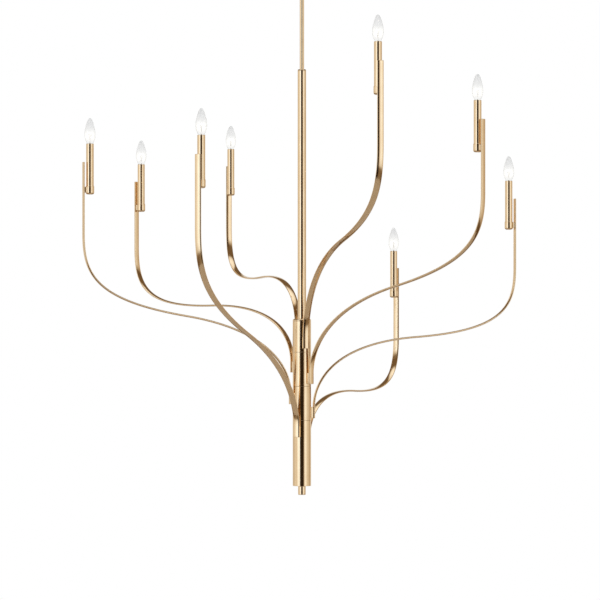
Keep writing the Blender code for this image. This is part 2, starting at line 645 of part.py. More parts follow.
def make_candle(index, arm, parts, tools, pivot):
    """The cup, the tube in it, the socket on the cup's floor and the bulb in the socket."""
    angle = heading(arm)
    seat = (CANDLE_REACH * math.cos(angle), CANDLE_REACH * math.sin(angle), cup_height(arm))
    make_cup(index, arm, seat, parts, tools, pivot)

    profile = ring_profile(TUBE_RADIUS, TUBE_RADIUS - TUBE_WALL, CANDLE_LENGTH, CUP_LEDGE + GAP)
    tube = turned(f"candle_tube_{index}", profile, CANDLE_SIDES, parts)
    socket_top = CANDLE_LENGTH - SOCKET_BELOW_TUBE
    bore_radius = BASE_RADIUS + GAP
    bore_end = socket_top - BASE_LENGTH - GAP
    socket = turned(f"lamp_socket_{index}", [
        (0.0, bore_end), (bore_radius, bore_end), (bore_radius, socket_top), (SOCKET_RADIUS, socket_top),
        (SOCKET_RADIUS, socket_top - SOCKET_LENGTH), (SOCKET_POST_RADIUS, socket_top - SOCKET_LENGTH),
        (SOCKET_POST_RADIUS, CUP_FLOOR + GAP), (0.0, CUP_FLOOR + GAP)], CANDLE_SIDES, parts)
    bulb = turned(f"bulb_{index}", bulb_profile(socket_top), CANDLE_SIDES, parts)
    for piece, look in ((tube, BRASS), (socket, PORCELAIN), (bulb, GLASS)):
        place(piece, seat, angle, pivot)
        give_material(piece, look)


def bulb_profile(socket_top):
    """A pointed torpedo on a small screw base, as (radius, height above the cup's underside)."""
    shape = ((0.93, 0.38), (0.82, 0.58), (0.68, 0.78), (0.52, 0.95), (0.36, 1.0), (0.20, 0.91),
             (0.08, 0.70))
    body = [(BULB_RADIUS * across, CANDLE_LENGTH + BULB_HEIGHT * up) for up, across in shape]
    return ([(0.0, CANDLE_LENGTH + BULB_HEIGHT)] + body
            + [(BASE_RADIUS, socket_top + GAP), (BASE_RADIUS, socket_top - BASE_LENGTH),
               (0.0, socket_top - BASE_LENGTH)])


# ---------------------------------------------------------------- assembly
def main():
    clear_scene()
    parts = new_collection("multi_arm_chandelier")
    tools = new_collection("cutters")
    pivots = {}
    for number in range(1, len(COLLAR_HEIGHTS) + 1):
        pivot = new_object(f"collar_{number}_pivot", None, parts)
        pivot.location = (0, 0, collar_top(number))
        pivots[number] = pivot
    make_ceiling_fitting(parts, tools)
    make_stem(parts)
    make_hub(parts, tools, pivots)
    for index, arm in enumerate(ARMS, 1):
        make_arm(index, arm, parts, tools, pivots[arm.collar])
        make_candle(index, arm, parts, tools, pivots[arm.collar])
    for piece in parts.objects:
        if piece.type == "MESH":
            shade(piece)


main()
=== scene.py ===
import json
import math
from typing import NamedTuple

import bmesh
import bpy
from mathutils import Matrix, Vector

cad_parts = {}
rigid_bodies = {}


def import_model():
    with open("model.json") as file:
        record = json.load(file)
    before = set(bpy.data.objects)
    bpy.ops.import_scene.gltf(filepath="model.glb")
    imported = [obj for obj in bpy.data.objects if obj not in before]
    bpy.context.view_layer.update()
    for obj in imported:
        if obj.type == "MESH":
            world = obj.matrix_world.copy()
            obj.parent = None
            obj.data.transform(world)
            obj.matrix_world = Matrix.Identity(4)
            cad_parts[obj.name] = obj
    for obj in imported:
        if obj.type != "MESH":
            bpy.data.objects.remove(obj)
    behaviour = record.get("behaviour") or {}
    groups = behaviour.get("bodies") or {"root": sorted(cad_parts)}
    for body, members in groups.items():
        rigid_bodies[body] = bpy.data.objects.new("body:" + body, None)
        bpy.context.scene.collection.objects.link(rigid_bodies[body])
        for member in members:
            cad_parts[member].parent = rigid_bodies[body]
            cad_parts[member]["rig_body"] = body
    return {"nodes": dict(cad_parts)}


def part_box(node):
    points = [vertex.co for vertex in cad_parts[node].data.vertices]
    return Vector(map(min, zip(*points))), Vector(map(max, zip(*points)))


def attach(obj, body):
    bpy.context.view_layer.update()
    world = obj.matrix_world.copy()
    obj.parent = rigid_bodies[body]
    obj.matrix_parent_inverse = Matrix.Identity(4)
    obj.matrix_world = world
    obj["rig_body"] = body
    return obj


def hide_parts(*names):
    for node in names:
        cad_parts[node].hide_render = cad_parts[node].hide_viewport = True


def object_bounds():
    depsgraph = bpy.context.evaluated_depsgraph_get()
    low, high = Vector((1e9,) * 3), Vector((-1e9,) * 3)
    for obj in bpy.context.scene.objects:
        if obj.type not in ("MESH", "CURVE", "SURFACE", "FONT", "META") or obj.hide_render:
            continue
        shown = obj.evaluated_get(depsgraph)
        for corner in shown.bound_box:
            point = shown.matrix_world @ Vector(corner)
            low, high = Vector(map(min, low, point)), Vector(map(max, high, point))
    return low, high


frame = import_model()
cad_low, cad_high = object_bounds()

TAU = 2 * math.pi
GAP = 0.0003                      # clearance between pieces that touch
MERGE_DISTANCE = 0.000001

# ---------------------------------------------------------------- camera, floor and light
CAMERA_X = -0.0056
CAMERA_DISTANCE = 8.5
EYE_LEVEL = -1.03                 # below the ceiling, which is at 0
LENS_MM = 173.5
SENSOR_MM = 36.0
FLOOR_DROP = 2.2                  # floor below the chandelier's lowest point
FLOOR_RADIUS = 4.2
FLOOR_EDGE = 0.02
FLOOR_SIDES = 128
FLOOR_COLOUR = (0.91, 0.86, 0.79)
LIGHT_SCALE = 2.0
OVERHEAD_LEVEL = 1.0
OVERHEAD_SPAN = (0.35, 0.60)      # sines of the elevations where it takes over
# Brightness of the studio round the chandelier: degrees from the camera towards +X, and level
LIGHT_LEVELS = ((-180, 0.75), (-150, 0.80), (-135, 0.58), (-110, 0.70), (-90, 0.90), (-74, 0.76),
                (-60, 1.05), (-46, 1.45), (-29, 1.45), (-21, 0.02), (18, 0.015), (25, 0.20),
                (32, 1.00), (46, 1.30), (59, 1.05), (73, 0.78), (90, 0.72), (109, 0.50),
                (124, 0.42), (140, 0.78), (160, 0.80), (180, 0.75))
# How that changes with height: the sine of the elevation, and the share that is left
TILT_LEVELS = ((-1.0, 0.24), (-0.46, 0.12), (-0.39, 0.16), (-0.31, 0.75), (-0.15, 0.98), (0.12, 1.0),
               (0.24, 1.05), (0.33, 0.55), (0.42, 0.12), (0.82, 0.12), (0.90, 1.00), (1.0, 1.30))
WARM_POWER = 0.80                 # so that darker heights are warmer: powers for red and for blue
COOL_POWER = 1.30
WARM_TINT = (1.60, 1.0, 0.50)     # of the darkest light round the chandelier
NEUTRAL_TINT = (1.08, 1.0, 0.88)
COOL_TINT = (0.88, 1.0, 1.18)
NEUTRAL_LEVEL = 0.6
COOL_RISE = 0.8                   # from the neutral level to where the light is fully cool

# ---------------------------------------------------------------- sizes of the fine meshes
ROUND_SIDES = 96
TUBE_SIDES = 72
CANDLE_SIDES = 64
PIPE_SIDES = 48
CORNER_STEPS = 4                  # points round each small rounded edge
FINE_SOFT = 0.0002                # radii of the softened corners of small pieces
SMALL_SOFT = 0.0003
SHARPEST_SOFT = 0.35              # turn in radians below which a corner of a profile stays
SIDE_SHARE = 0.99                 # of the outer radius: beyond it lies a turned piece's outer side
DRILL_SPARE = 0.001               # how far a drill starts outside a piece
SMOOTH_DEGREES = 32.0             # edges that turn less are shaded smooth
ARM_SMOOTH_DEGREES = 50.0

CANOPY_CORNER = 0.012
CANOPY_WALL = 0.0012
CANOPY_LIP = 0.0007               # radius of the rolled edge at the ceiling
CANOPY_SIDES = 144
CANOPY_ARC_STEPS = 14
LIP_STEPS = 8
CANOPY_SCREW_RADIUS = 0.0019
KNURLS = 40
KNURL_DEPTH = 0.00035
KNURL_MARGIN = 0.0014             # plain height above and below the knurled band
KNURL_GAP = 0.0001                # between the band and the nearest plain ring
KNURL_SIDES = 8                   # sides for each knurl
RING_SHOULDER = 0.0010
RING_SHOULDER_DROP = 0.0009
RING_LEAD_IN = 0.0006             # chamfer of the ring's bore at its lower end
SCREW_PITCH = 0.0007
SCREW_THREAD_DEPTH = 0.00028
SCREW_STEP = 0.0001
SCREW_PLAIN = 0.004               # plain shank above the canopy
SCREW_SIDES = 40
KNOB_SHOULDER = 0.94              # shares of the knob's radius, then of its height
KNOB_SHOULDER_DROP = 0.12
KNOB_SIDE_END = 0.46
KNOB_DOME = 0.45
KNOB_STEPS = 10
KNOB_NECK = 0.001
BAR_EDGE = 0.0006
BOX_SCREW_X = 0.0445
BOX_SCREW_HOLE = 0.0025
END_CHAMFER = 0.0004              # on the outside of threaded ends, and in the wider bores
BORE_CHAMFER = 0.0002
NUT_CHAMFER = 0.0009
NUT_SIDES = 144
NUT_BORE_EDGE = 0.0005           # round the bore, where the nut isn't a hexagon
COUPLER_CHAMFER = 0.0006
COUPLER_END = 0.001
COUPLER_STEP = 0.0016
FLUTES = 24                       # shallow hollows round the coupler
FLUTE_DEPTH = 0.00008
TUBE_STEP = 0.030
HUB_STEP = 0.02
PIPE_THREAD_RISE = 0.01           # of the pipe's thread above the hub's plate
TUBE_SOFT = 0.0004
SLEEVE_CAP_CHAMFER = 0.0018
SLEEVE_CAP_SOFT = 0.0009
LID_CHAMFER = 0.0022
LID_SOFT = 0.0012
LID_FLAT = 0.004
FINIAL_CHAMFER = 0.0010
PLATE_SOFT = 0.0005
STEM_WALL = 0.0012
SLEEVE_WALL = 0.0012
PIPE_WALL = 0.0015
NIPPLE_WALL = 0.0014
HUB_WALL = 0.0030
COLLAR_WEB = 0.0040
BASE_LEDGE = 0.0012
WIRE_HOLE_RADIUS = 0.0022
PIPE_HOLE_RADIUS = 0.0032
FINIAL_BORE_DEPTH = 0.0150
THREAD_PITCH = 0.00094            # 27 turns an inch
THREAD_DEPTH = 0.0003
THREAD_STEPS = 6                  # rings for each turn
THREAD_END = 0.0003               # plain length at each end of the nipple

ARM_WIDTH = 0.0185
ARM_THICKNESS = 0.0060
ARM_EDGE = 0.0014                 # flat of each narrow edge
ARM_FACE_STEPS = 26
ARM_END_ROUND = 0.0006
ARM_END_STEPS = 4
FOOT_STANDOFF = 0.0060
FOOT_BLOCK_HEIGHT = 0.0330
FOOT_BLOCK_WIDTH = 0.0150
FOOT_BLOCK_EDGE = 0.0010
MIDDLE_SHARE = 0.506
FOOT_HANDLE = 0.23
MIDDLE_HANDLE_IN = 0.93
MIDDLE_HANDLE_OUT = 0.90
TOP_HANDLE = 0.62
TOP_BEND_RISE = 0.186
BEND_STEPS = 56

TUBE_RADIUS = 0.0110
TUBE_WALL = 0.0009
CUP_WALL = 0.0010
CUP_DOME = 0.0055
CUP_FLOOR = 0.0040
CUP_LEDGE = 0.0120
CUP_FOOT_SHARE = 0.45
CUP_STANDOFF = 0.0037
CUP_GROOVE_DROP = 0.0023          # groove round the cup, below its rim
CUP_GROOVE_DEPTH = 0.00035
CUP_STEP = 0.004
CUP_DOME_STEPS = 12
CUP_WAY_START = 0.004
BRIDGE_WIDTH = 0.0150
BRIDGE_HEIGHT = 0.0170
BRIDGE_BELOW_RIM = 0.0020
BRIDGE_EDGE = 0.0008
BRIDGE_SINK = 0.0002              # into the cup's wall
CUP_RADIUS = TUBE_RADIUS + GAP + CUP_WALL
ARM_TO_CANDLE = CUP_RADIUS + CUP_STANDOFF + ARM_THICKNESS / 2
TUBE_ROLL_STEPS = 5
TUBE_RIM_DROP = 0.0003
CANDLE_STEP = 0.012
SOCKET_CLEARANCE = 0.0013
SOCKET_LIP = 0.0010
SOCKET_TAPER = 0.002
SOCKET_SIDE = ((0.0, 0.0), (0.0, 0.004), (0.0005, 0.0045), (0.0005, 0.0085), (0.0, 0.009), (0.0, 0.045))
SOCKET_POST_RADIUS = 0.0040
SOCKET_RADIUS = TUBE_RADIUS - TUBE_WALL - SOCKET_CLEARANCE

BULB_RADIUS = 0.01588
BASE_RADIUS = 0.0059
BASE_LENGTH = 0.0220
BASE_THREAD_PITCH = 0.0025
BASE_THREAD_DEPTH = 0.0006
GLASS_WALL = 0.0007
NECK_INSET = 0.0004               # of the glass in its screw cap
HOLLOW_FROM = 2.2                 # walls from the axis where the glass is solid, at the tip
# Half outline of the glass, from its tip to the candle tube: shares of its height and of its radius
BULB_SHAPE = ((1.0, 0.0), (0.990, 0.15), (0.955, 0.31), (0.90, 0.455), (0.82, 0.60), (0.68, 0.79),
              (0.52, 0.95), (0.36, 1.0), (0.20, 0.91), (0.08, 0.70), (0.0, 0.56))
BULB_STEPS = 6
# Outlines of its small pieces: radius, and height above the screw cap's top (the mount) or foot
MOUNT_OUTLINE = ((0.0, 0.0205), (0.0011, 0.0200), (0.0015, 0.0185), (0.0012, 0.0170), (0.0011, 0.0120),
                 (0.0014, 0.0060), (0.0028, 0.0020), (0.0040, 0.0004), (0.0, 0.0004))
INSULATOR_OUTLINE = ((0.0, 0.0030), (0.0050, 0.0030), (0.0030, 0.0006), (0.0, 0.0006))
CONTACT_OUTLINE = ((0.0, 0.0010), (0.0024, 0.0007), (0.0021, 0.0003), (0.0012, 0.0), (0.0, 0.0))
CAP_WAIST = ((0.0050, 0.0032), (0.0046, 0.0031), (0.0046, 0.0040), (0.0049, 0.0052))
CAP_RIM = ((0.0005, 0.0), (0.0, 0.0003), (0.0, 0.0012), (0.0002, 0.0020))   # inset, and drop from its top
CAP_WALL = 0.0010
CAP_RIM_WALL = 0.0009
CAP_STEP = 0.0003
CAP_THREAD_DROP = 0.0035          # from its top to its thread
CAP_THREAD_RISE = 0.0045          # from the bulb's lowest point to its thread
CAP_THREAD_STEPS = 12
# Wires in the bulb: distance from the axis, and height from the mount's bead, then from the arch
BEAD_RISE = 0.0185                # above the screw cap
ARCH_RISE = 0.0345
LEAD_FOOT = ((0.0007, -0.006), (0.0009, 0.0), (0.0022, 0.005), (0.0046, 0.0105))
LEAD_HOOK = ((0.0052, -0.0030), (0.0048, -0.0024))
SUPPORT_FOOT = ((0.0, 0.0), (0.0003, 0.007))
SUPPORT_HOOK = ((0.0004, -0.0006), (-0.0003, 0.0002))
LEAD_RADIUS = 0.00022
SUPPORT_RADIUS = 0.00014
FILAMENT_RADIUS = 0.00011
COIL_TURNS = 44
COIL_SAMPLES = 12                 # points for each turn
COIL_HALF_LENGTH = 0.0048
COIL_RADIUS = 0.00042
COIL_SAG = 0.0024                 # of its ends below its middle

# ---------------------------------------------------------------- finishes
WEAR_SPAN = (0.52, 0.62)          # pointiness of flat faces, and of edges that stand out
NOISE_SPAN = (0.3, 0.7)           # the part of a noise's range that is spread over a change
CLOUD_SPAN = (0.35, 0.70)
STREAK_SPAN = (0.45, 0.75)
STREAK_SHARE = 0.25
HAIR_DENSITY = (3000.0, 60.0, 1.0)     # round the piece and along it, for each metre
STREAK_DENSITY = (500.0, 9.0, 1.0)
CLOUD_DENSITY = 26.0
DENT_DENSITY = 150.0
DENT_STRENGTH = 0.25
DENT_DEPTH = 0.00002
HAIR_DEPTH = 0.000002
CLOUD_ROUGHNESS = (0.85, 1.2)     # shares of a metal's roughness
HAIR_ROUGHNESS = (-0.02, 0.04)
WORN_ROUGHNESS = 0.75
SPECKLE_DENSITY = 900.0
SPECKLE_STRENGTH = 0.35
SPECKLE_DEPTH = 0.00005
SPECKLE_ROUGHNESS = (-0.06, 0.08)
STAIN_DENSITY = 60.0
STAIN_SHARE = 0.8
WORN_PALER = 1.15
GLASS_IOR = 1.45
GLASS_TINT = (0.965, 0.965, 0.96)
GLASS_RIM = (0.36, 0.37, 0.38)
GLASS_GREY = (0.84, 0.845, 0.85)  # of the streaks towards a bulb's tip
GLASS_ROUGHNESS = 0.02
RIM_BLEND = 0.35
RIM_POWER = 2.5
RIM_SPAN = (0.35, 0.75)           # where the glow fades towards the rim
RIPPLE_DENSITY = (60.0, 60.0, 20.0)
RIPPLE_STRENGTH = 0.30
RIPPLE_DEPTH = 0.0001
GLASS_STREAK_DENSITY = (330.0, 330.0, 25.0)
STREAKY_SPAN = (0.35, 0.65)
STREAKY_SHARES = (0.25, 1.0)      # how much of the grey there is between streaks, and in them
SMEAR_SPAN = (0.4, 0.8)
GREY_SPAN = (0.35, 0.95)          # shares of the height from the candle tube's rim to the tip
GLOW_START = (0.02, 0.22)
GLOW_END = (0.32, 0.62)
GLOW_STRENGTH = 0.035
GLOW_COLOUR = (1.0, 0.95, 0.80)
FLICKER_DENSITY = 1500.0
FLICKER_COLOUR = (1.0, 0.95, 0.85)
FLICKER_DARKER = 0.8
COIL_METALLIC = 0.6
COIL_ROUGHNESS = (0.35, 0.5)
FLOOR_CLOUD_DENSITY = 1.3
FLOOR_PALER = 1.04
FLOOR_ROUGHNESS = (0.55, 0.7)
WHITE = (1.0, 1.0, 1.0)


class Bend(NamedTuple):
    """How one arm runs between its foot and its top, which the frame gives."""
    middle: float                 # height of the middle of the S from the top of the hub
    slope: float                  # slope there, in degrees


BENDS = (
    Bend(middle=0.224, slope=14.0),
    Bend(middle=0.125, slope=-3.6),
    Bend(middle=0.096, slope=14.0),
    Bend(middle=0.039, slope=-1.4),
    Bend(middle=-0.054, slope=4.1),
    Bend(middle=0.009, slope=9.5),
    Bend(middle=-0.221, slope=-3.0),
    Bend(middle=-0.043, slope=20.0),
)


# ---------------------------------------------------------------- material helpers
class Graph:
    """A node tree that is built by short calls. An input may be a socket, a number or a colour."""

    def __init__(self, tree):
        self.tree = tree

    def node(self, kind, operation=None, **inputs):
        made = self.tree.nodes.new(kind)
        if operation:
            made.operation = operation
        for name, value in inputs.items():
            self.feed(made.inputs[name.replace("_", " ")], value)
        return made

    def feed(self, socket, value):
        if isinstance(value, bpy.types.NodeSocket):
            self.tree.links.new(value, socket)
        elif socket.type == "RGBA":
            socket.default_value = (*value, 1.0)
        else:
            socket.default_value = value

    def position(self):
        return self.tree.nodes.new("ShaderNodeTexCoord").outputs["Object"]

    def math(self, operation, first, second=0.0, third=0.0):
        made = self.tree.nodes.new("ShaderNodeMath")
        made.operation = operation
        for socket, value in zip(made.inputs, (first, second, third)):
            self.feed(socket, value)
        return made.outputs[0]

    def noise(self, vector, scale, detail=2.0, roughness=0.5):
        made = self.node("ShaderNodeTexNoise", Vector=vector, Scale=scale, Detail=detail,
                         Roughness=roughness)
        return made.outputs["Fac"]

    def stretched(self, vector, scale):
        made = self.tree.nodes.new("ShaderNodeMapping")
        self.feed(made.inputs["Vector"], vector)
        made.inputs["Scale"].default_value = scale
        return made.outputs[0]

    def remap(self, value, low, high, to_low=0.0, to_high=1.0, smooth=False):
        made = self.tree.nodes.new("ShaderNodeMapRange")
        if smooth:
            made.interpolation_type = "SMOOTHSTEP"
        for socket, number in zip(made.inputs, (value, low, high, to_low, to_high)):
            self.feed(socket, number)
        return made.outputs[0]

    def blend(self, share, first, second):
        made = self.tree.nodes.new("ShaderNodeMix")
        made.data_type = "RGBA"
        self.feed(made.inputs[0], share)
        self.feed(made.inputs[6], first)
        self.feed(made.inputs[7], second)
        return made.outputs[2]


def new_material(name):
    """A material with an empty Principled shader: (material, graph, shader)."""
    material = bpy.data.materials.new(name)
    material.use_nodes = True
    graph = Graph(material.node_tree)
    return material, graph, material.node_tree.nodes["Principled BSDF"]


def wear_of(graph):
    """How worn a spot is, from 0 on flat faces to 1 on edges that stand out."""
    geometry = graph.tree.nodes.new("ShaderNodeNewGeometry")
    return graph.remap(geometry.outputs["Pointiness"], *WEAR_SPAN)


def bump(graph, height, strength, distance, under=None):
    made = graph.node("ShaderNodeBump", Height=height, Strength=strength, Distance=distance)
    if under is not None:
        graph.feed(made.inputs["Normal"], under)
    return made.outputs[0]


def metal(name, colours, roughness, grain):
    """A metal with fine grain along its length, cloudy colour, small dents and bright edges.

    The piece's UVs are metres round it and along it. colours are (body, cloud, worn edge).
    """
    material, graph, shader = new_material(name)
    uv = graph.tree.nodes.new("ShaderNodeUVMap")
    uv.uv_map = "grain"
    position = graph.position()
    hair = graph.noise(graph.stretched(uv.outputs[0], HAIR_DENSITY), 1.0, detail=3.0, roughness=0.65)
    streak = graph.noise(graph.stretched(uv.outputs[0], STREAK_DENSITY), 1.0)
    cloud = graph.noise(position, CLOUD_DENSITY, detail=3.0)
    dents = graph.noise(position, DENT_DENSITY, detail=1.0)
    wear = wear_of(graph)

    body, tarnish, worn = colours
    colour = graph.blend(graph.remap(cloud, *CLOUD_SPAN), body, tarnish)
    colour = graph.blend(graph.remap(streak, *STREAK_SPAN, 0.0, STREAK_SHARE), colour, worn)
    graph.feed(shader.inputs["Base Color"], graph.blend(wear, colour, worn))

    rough = graph.remap(cloud, *NOISE_SPAN, *(roughness * share for share in CLOUD_ROUGHNESS))
    rough = graph.math("ADD", rough, graph.remap(hair, *NOISE_SPAN, *HAIR_ROUGHNESS))
    polish = graph.remap(wear, 0.0, 1.0, 1.0, WORN_ROUGHNESS)
    graph.feed(shader.inputs["Roughness"], graph.math("MULTIPLY", rough, polish))
    under = bump(graph, dents, DENT_STRENGTH, DENT_DEPTH)
    graph.feed(shader.inputs["Normal"], bump(graph, hair, grain, HAIR_DEPTH, under))
    shader.inputs["Metallic"].default_value = 1.0
    return material


def moulded(name, colour, stain, roughness):
    """A matt moulded insulator with a faint speckle and worn, paler edges."""
    material, graph, shader = new_material(name)
    position = graph.position()
    speckle = graph.noise(position, SPECKLE_DENSITY)
    cloud = graph.noise(position, STAIN_DENSITY, detail=3.0)
    mixed = graph.blend(graph.remap(cloud, *CLOUD_SPAN, 0.0, STAIN_SHARE), colour, stain)
    pale = tuple(min(1.0, channel * WORN_PALER) for channel in colour)
    graph.feed(shader.inputs["Base Color"], graph.blend(wear_of(graph), mixed, pale))
    graph.feed(shader.inputs["Roughness"], graph.remap(
        speckle, *NOISE_SPAN, *(roughness + change for change in SPECKLE_ROUGHNESS)))
    graph.feed(shader.inputs["Normal"], bump(graph, speckle, SPECKLE_STRENGTH, SPECKLE_DEPTH))
    return material


def clear_glass(name, glow_low=None, glow_high=None):
    """Clear blown glass, darker towards its rim.

    Between two heights, if they are given, it turns greyer upwards and glows round its filament.
    """
    material, graph, shader = new_material(name)
    position = graph.position()
    ripple = graph.noise(graph.stretched(position, RIPPLE_DENSITY), 1.0, detail=1.0)
    streaks = graph.noise(graph.stretched(position, GLASS_STREAK_DENSITY), 1.0)
    rim = graph.tree.nodes.new("ShaderNodeLayerWeight")
    rim.inputs["Blend"].default_value = RIM_BLEND
    facing = rim.outputs["Facing"]
    colour = graph.blend(graph.math("POWER", facing, RIM_POWER), GLASS_TINT, GLASS_RIM)
    if glow_low is not None:
        height = graph.node("ShaderNodeSeparateXYZ", Vector=position).outputs[2]
        share = graph.remap(height, glow_low, glow_high)
        grey = graph.math("MULTIPLY", graph.remap(share, *GREY_SPAN, smooth=True),
                          graph.remap(streaks, *STREAKY_SPAN, *STREAKY_SHARES))
        colour = graph.blend(grey, colour, GLASS_GREY)
        rising = graph.remap(share, *GLOW_START, smooth=True)
        falling = graph.remap(share, *GLOW_END, 1.0, 0.0, smooth=True)
        lit = graph.math("MULTIPLY", graph.math("MULTIPLY", rising, falling), GLOW_STRENGTH)
        inside = graph.remap(facing, *RIM_SPAN, 1.0, 0.0, smooth=True)
        graph.feed(shader.inputs["Emission Strength"], graph.math("MULTIPLY", lit, inside))
        graph.feed(shader.inputs["Emission Color"], GLOW_COLOUR)
    graph.feed(shader.inputs["Base Color"], colour)
    graph.feed(shader.inputs["Roughness"], graph.remap(streaks, *SMEAR_SPAN, 0.0, GLASS_ROUGHNESS))
    graph.feed(shader.inputs["Normal"], bump(graph, ripple, RIPPLE_STRENGTH, RIPPLE_DEPTH))
    shader.inputs["Transmission Weight"].default_value = 1.0
    shader.inputs["IOR"].default_value = GLASS_IOR
    return material


def glowing(name, colour, glow, strength):
    """A hot coil: bright, with a fine flicker in its colour."""
    material, graph, shader = new_material(name)
    flicker = graph.noise(graph.position(), FLICKER_DENSITY)
    darker = tuple(channel * FLICKER_DARKER for channel in colour)
    graph.feed(shader.inputs["Base Color"], graph.blend(flicker, colour, darker))
    graph.feed(shader.inputs["Roughness"], graph.remap(flicker, *NOISE_SPAN, *COIL_ROUGHNESS))
    graph.feed(shader.inputs["Emission Color"], graph.blend(flicker, glow, FLICKER_COLOUR))
    shader.inputs["Metallic"].default_value = COIL_METALLIC
    shader.inputs["Emission Strength"].default_value = strength
    return material


def floor_finish():
    material, graph, shader = new_material("studio_floor")
    cloud = graph.noise(graph.position(), FLOOR_CLOUD_DENSITY, detail=4.0)
    paler = tuple(channel * FLOOR_PALER for channel in FLOOR_COLOUR)
    graph.feed(shader.inputs["Base Color"], graph.blend(cloud, FLOOR_COLOUR, paler))
    graph.feed(shader.inputs["Roughness"], graph.remap(cloud, *NOISE_SPAN, *FLOOR_ROUGHNESS))
    return material


BRASS = metal("champagne_brass", ((0.89, 0.675, 0.42), (0.85, 0.625, 0.375), (0.94, 0.77, 0.54)),
              roughness=0.11, grain=0.30)
STEEL = metal("plated_steel", ((0.60, 0.60, 0.59), (0.50, 0.50, 0.49), (0.78, 0.78, 0.77)),
              roughness=0.32, grain=0.45)
NICKEL = metal("nickel_base", ((0.72, 0.69, 0.62), (0.62, 0.58, 0.50), (0.86, 0.84, 0.80)),
               roughness=0.22, grain=0.25)
WIRE = metal("lead_wire", ((0.55, 0.48, 0.40), (0.42, 0.36, 0.30), (0.70, 0.65, 0.58)),
             roughness=0.30, grain=0.20)
SOLDER = metal("solder", ((0.58, 0.58, 0.60), (0.46, 0.46, 0.48), (0.76, 0.76, 0.78)),
               roughness=0.38, grain=0.10)
SOCKET = moulded("socket_plastic", (0.80, 0.76, 0.66), (0.72, 0.66, 0.54), 0.45)
INSULATOR = moulded("base_insulator", (0.035, 0.032, 0.035), (0.06, 0.05, 0.05), 0.25)
MOUNT_GLASS = clear_glass("mount_glass")
FILAMENT = glowing("filament", (0.25, 0.22, 0.20), (1.0, 0.78, 0.45), strength=9.0)
CUP_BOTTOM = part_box("candle_cup_1")[0].z
GLASS = clear_glass("bulb_glass", glow_low=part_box("candle_tube_1")[1].z - CUP_BOTTOM,
                    glow_high=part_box("bulb_1")[1].z - CUP_BOTTOM)


# ---------------------------------------------------------------- mesh helpers
def body_of(node):
    return frame["nodes"][node]["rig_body"]


def middle_of(node):
    low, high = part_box(node)
    return (low + high) / 2


def new_piece(name, mesh):
    piece = bpy.data.objects.new(name, mesh)
    bpy.context.scene.collection.objects.link(piece)
    return piece


def slot_of(material):
    """The record's slot that pieces of a material take their finish from."""
    if material in (GLASS, MOUNT_GLASS):
        return "bulb_glass"
    if material in (SOCKET, INSULATOR):
        return "socket_plastic"
    return "champagne_brass" if material == BRASS else "plated_steel"


def finish_piece(piece, node, material, replaces=True, degrees=SMOOTH_DEGREES):
    """Give a piece its material, its shading and a node's body, and hide the node that it stands for if
    it replaces it.
    """
    piece.data.materials.clear()
    piece.data.materials.append(material)
    piece.data.shade_smooth()
    piece.data.set_sharp_from_angle(angle=math.radians(degrees))
    if replaces:
        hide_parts(node)
    slot_of(material)
    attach(piece, body_of(node))


def mesh_from(shape, name):
    """Make a mesh of a finished bmesh."""
    mesh = bpy.data.meshes.new(name)
    shape.to_mesh(mesh)
    shape.free()
    return mesh


def lay_grain(shape):
    """Lay the grain of a small piece along Z."""
    layer = shape.loops.layers.uv.new("grain")
    for face in shape.faces:
        for loop in face.loops:
            loop[layer].uv = (loop.vert.co.x + loop.vert.co.y, loop.vert.co.z)


def turned_mesh(name, profile, sides, closed, wave=None):
    """Turn a profile of (radius, height) points, running down its outer side, about Z.

    wave(angle, radius, height) may change the radius round the piece, as threads and knurls do.
    The grain UVs are metres round the piece and along its profile.
    """
    shape = bmesh.new()
    layer = shape.loops.layers.uv.new("grain")
    rings = []
    lengths = [0.0]
    for number, (radius, height) in enumerate(profile):
        if number:
            before = profile[number - 1]
            lengths.append(lengths[-1] + math.hypot(radius - before[0], height - before[1]))
        if radius == 0.0:
            rings.append([shape.verts.new((0.0, 0.0, height))] * sides)
            continue
        ring = []
        for side in range(sides):
            angle = TAU * side / sides
            across = wave(angle, radius, height) if wave else radius
            ring.append(shape.verts.new((across * math.cos(angle), across * math.sin(angle), height)))
        rings.append(ring)
    widest = max(radius for radius, height in profile)
    pairs = [(i, i + 1) for i in range(len(rings) - 1)]
    if closed:
        pairs.append((len(rings) - 1, 0))
    for upper, lower in pairs:
        rise = lengths[lower] if lower else lengths[-1] + 0.001
        for side in range(sides):
            after = (side + 1) % sides
            corners = [(rings[upper][side], side, lengths[upper]),
                       (rings[lower][side], side, rise),
                       (rings[lower][after], side + 1, rise),
                       (rings[upper][after], side + 1, lengths[upper])]
            kept = []
            for corner in corners:
                if not kept or all(corner[0] is not other[0] for other in kept):
                    kept.append(corner)
            face = shape.faces.new([corner[0] for corner in kept])
            for loop, (vertex, turn, along) in zip(face.loops, kept):
                loop[layer].uv = (TAU * widest * turn / sides, along)
    return mesh_from(shape, name)


def softened(profile, radius, closed, steps=CORNER_STEPS):
    """Round the corners of a profile, except on its axis, by at most the given radius."""
    points = []
    count = len(profile)
    for number, corner in enumerate(profile):
        ends = not closed and number in (0, count - 1)
        if ends or corner[0] == 0.0:
            points.append(corner)
            continue
        here = Vector(corner)
        before = Vector(profile[number - 1]) - here
        after = Vector(profile[(number + 1) % count]) - here
        if before.length < 1e-9 or after.length < 1e-9 or math.pi - before.angle(after) < SHARPEST_SOFT:
            points.append(corner)
            continue
        reach = min(radius, before.length * 0.45, after.length * 0.45)
        start = here + before.normalized() * reach
        end = here + after.normalized() * reach
        for step in range(steps + 1):
            t = step / steps
            point = start * (1 - t) ** 2 + here * 2 * t * (1 - t) + end * t * t
            points.append((point.x, point.y))
    return points


def ring_profile(outer, inner, top, bottom):
    return [(outer, top), (outer, bottom), (inner, bottom), (inner, top)]


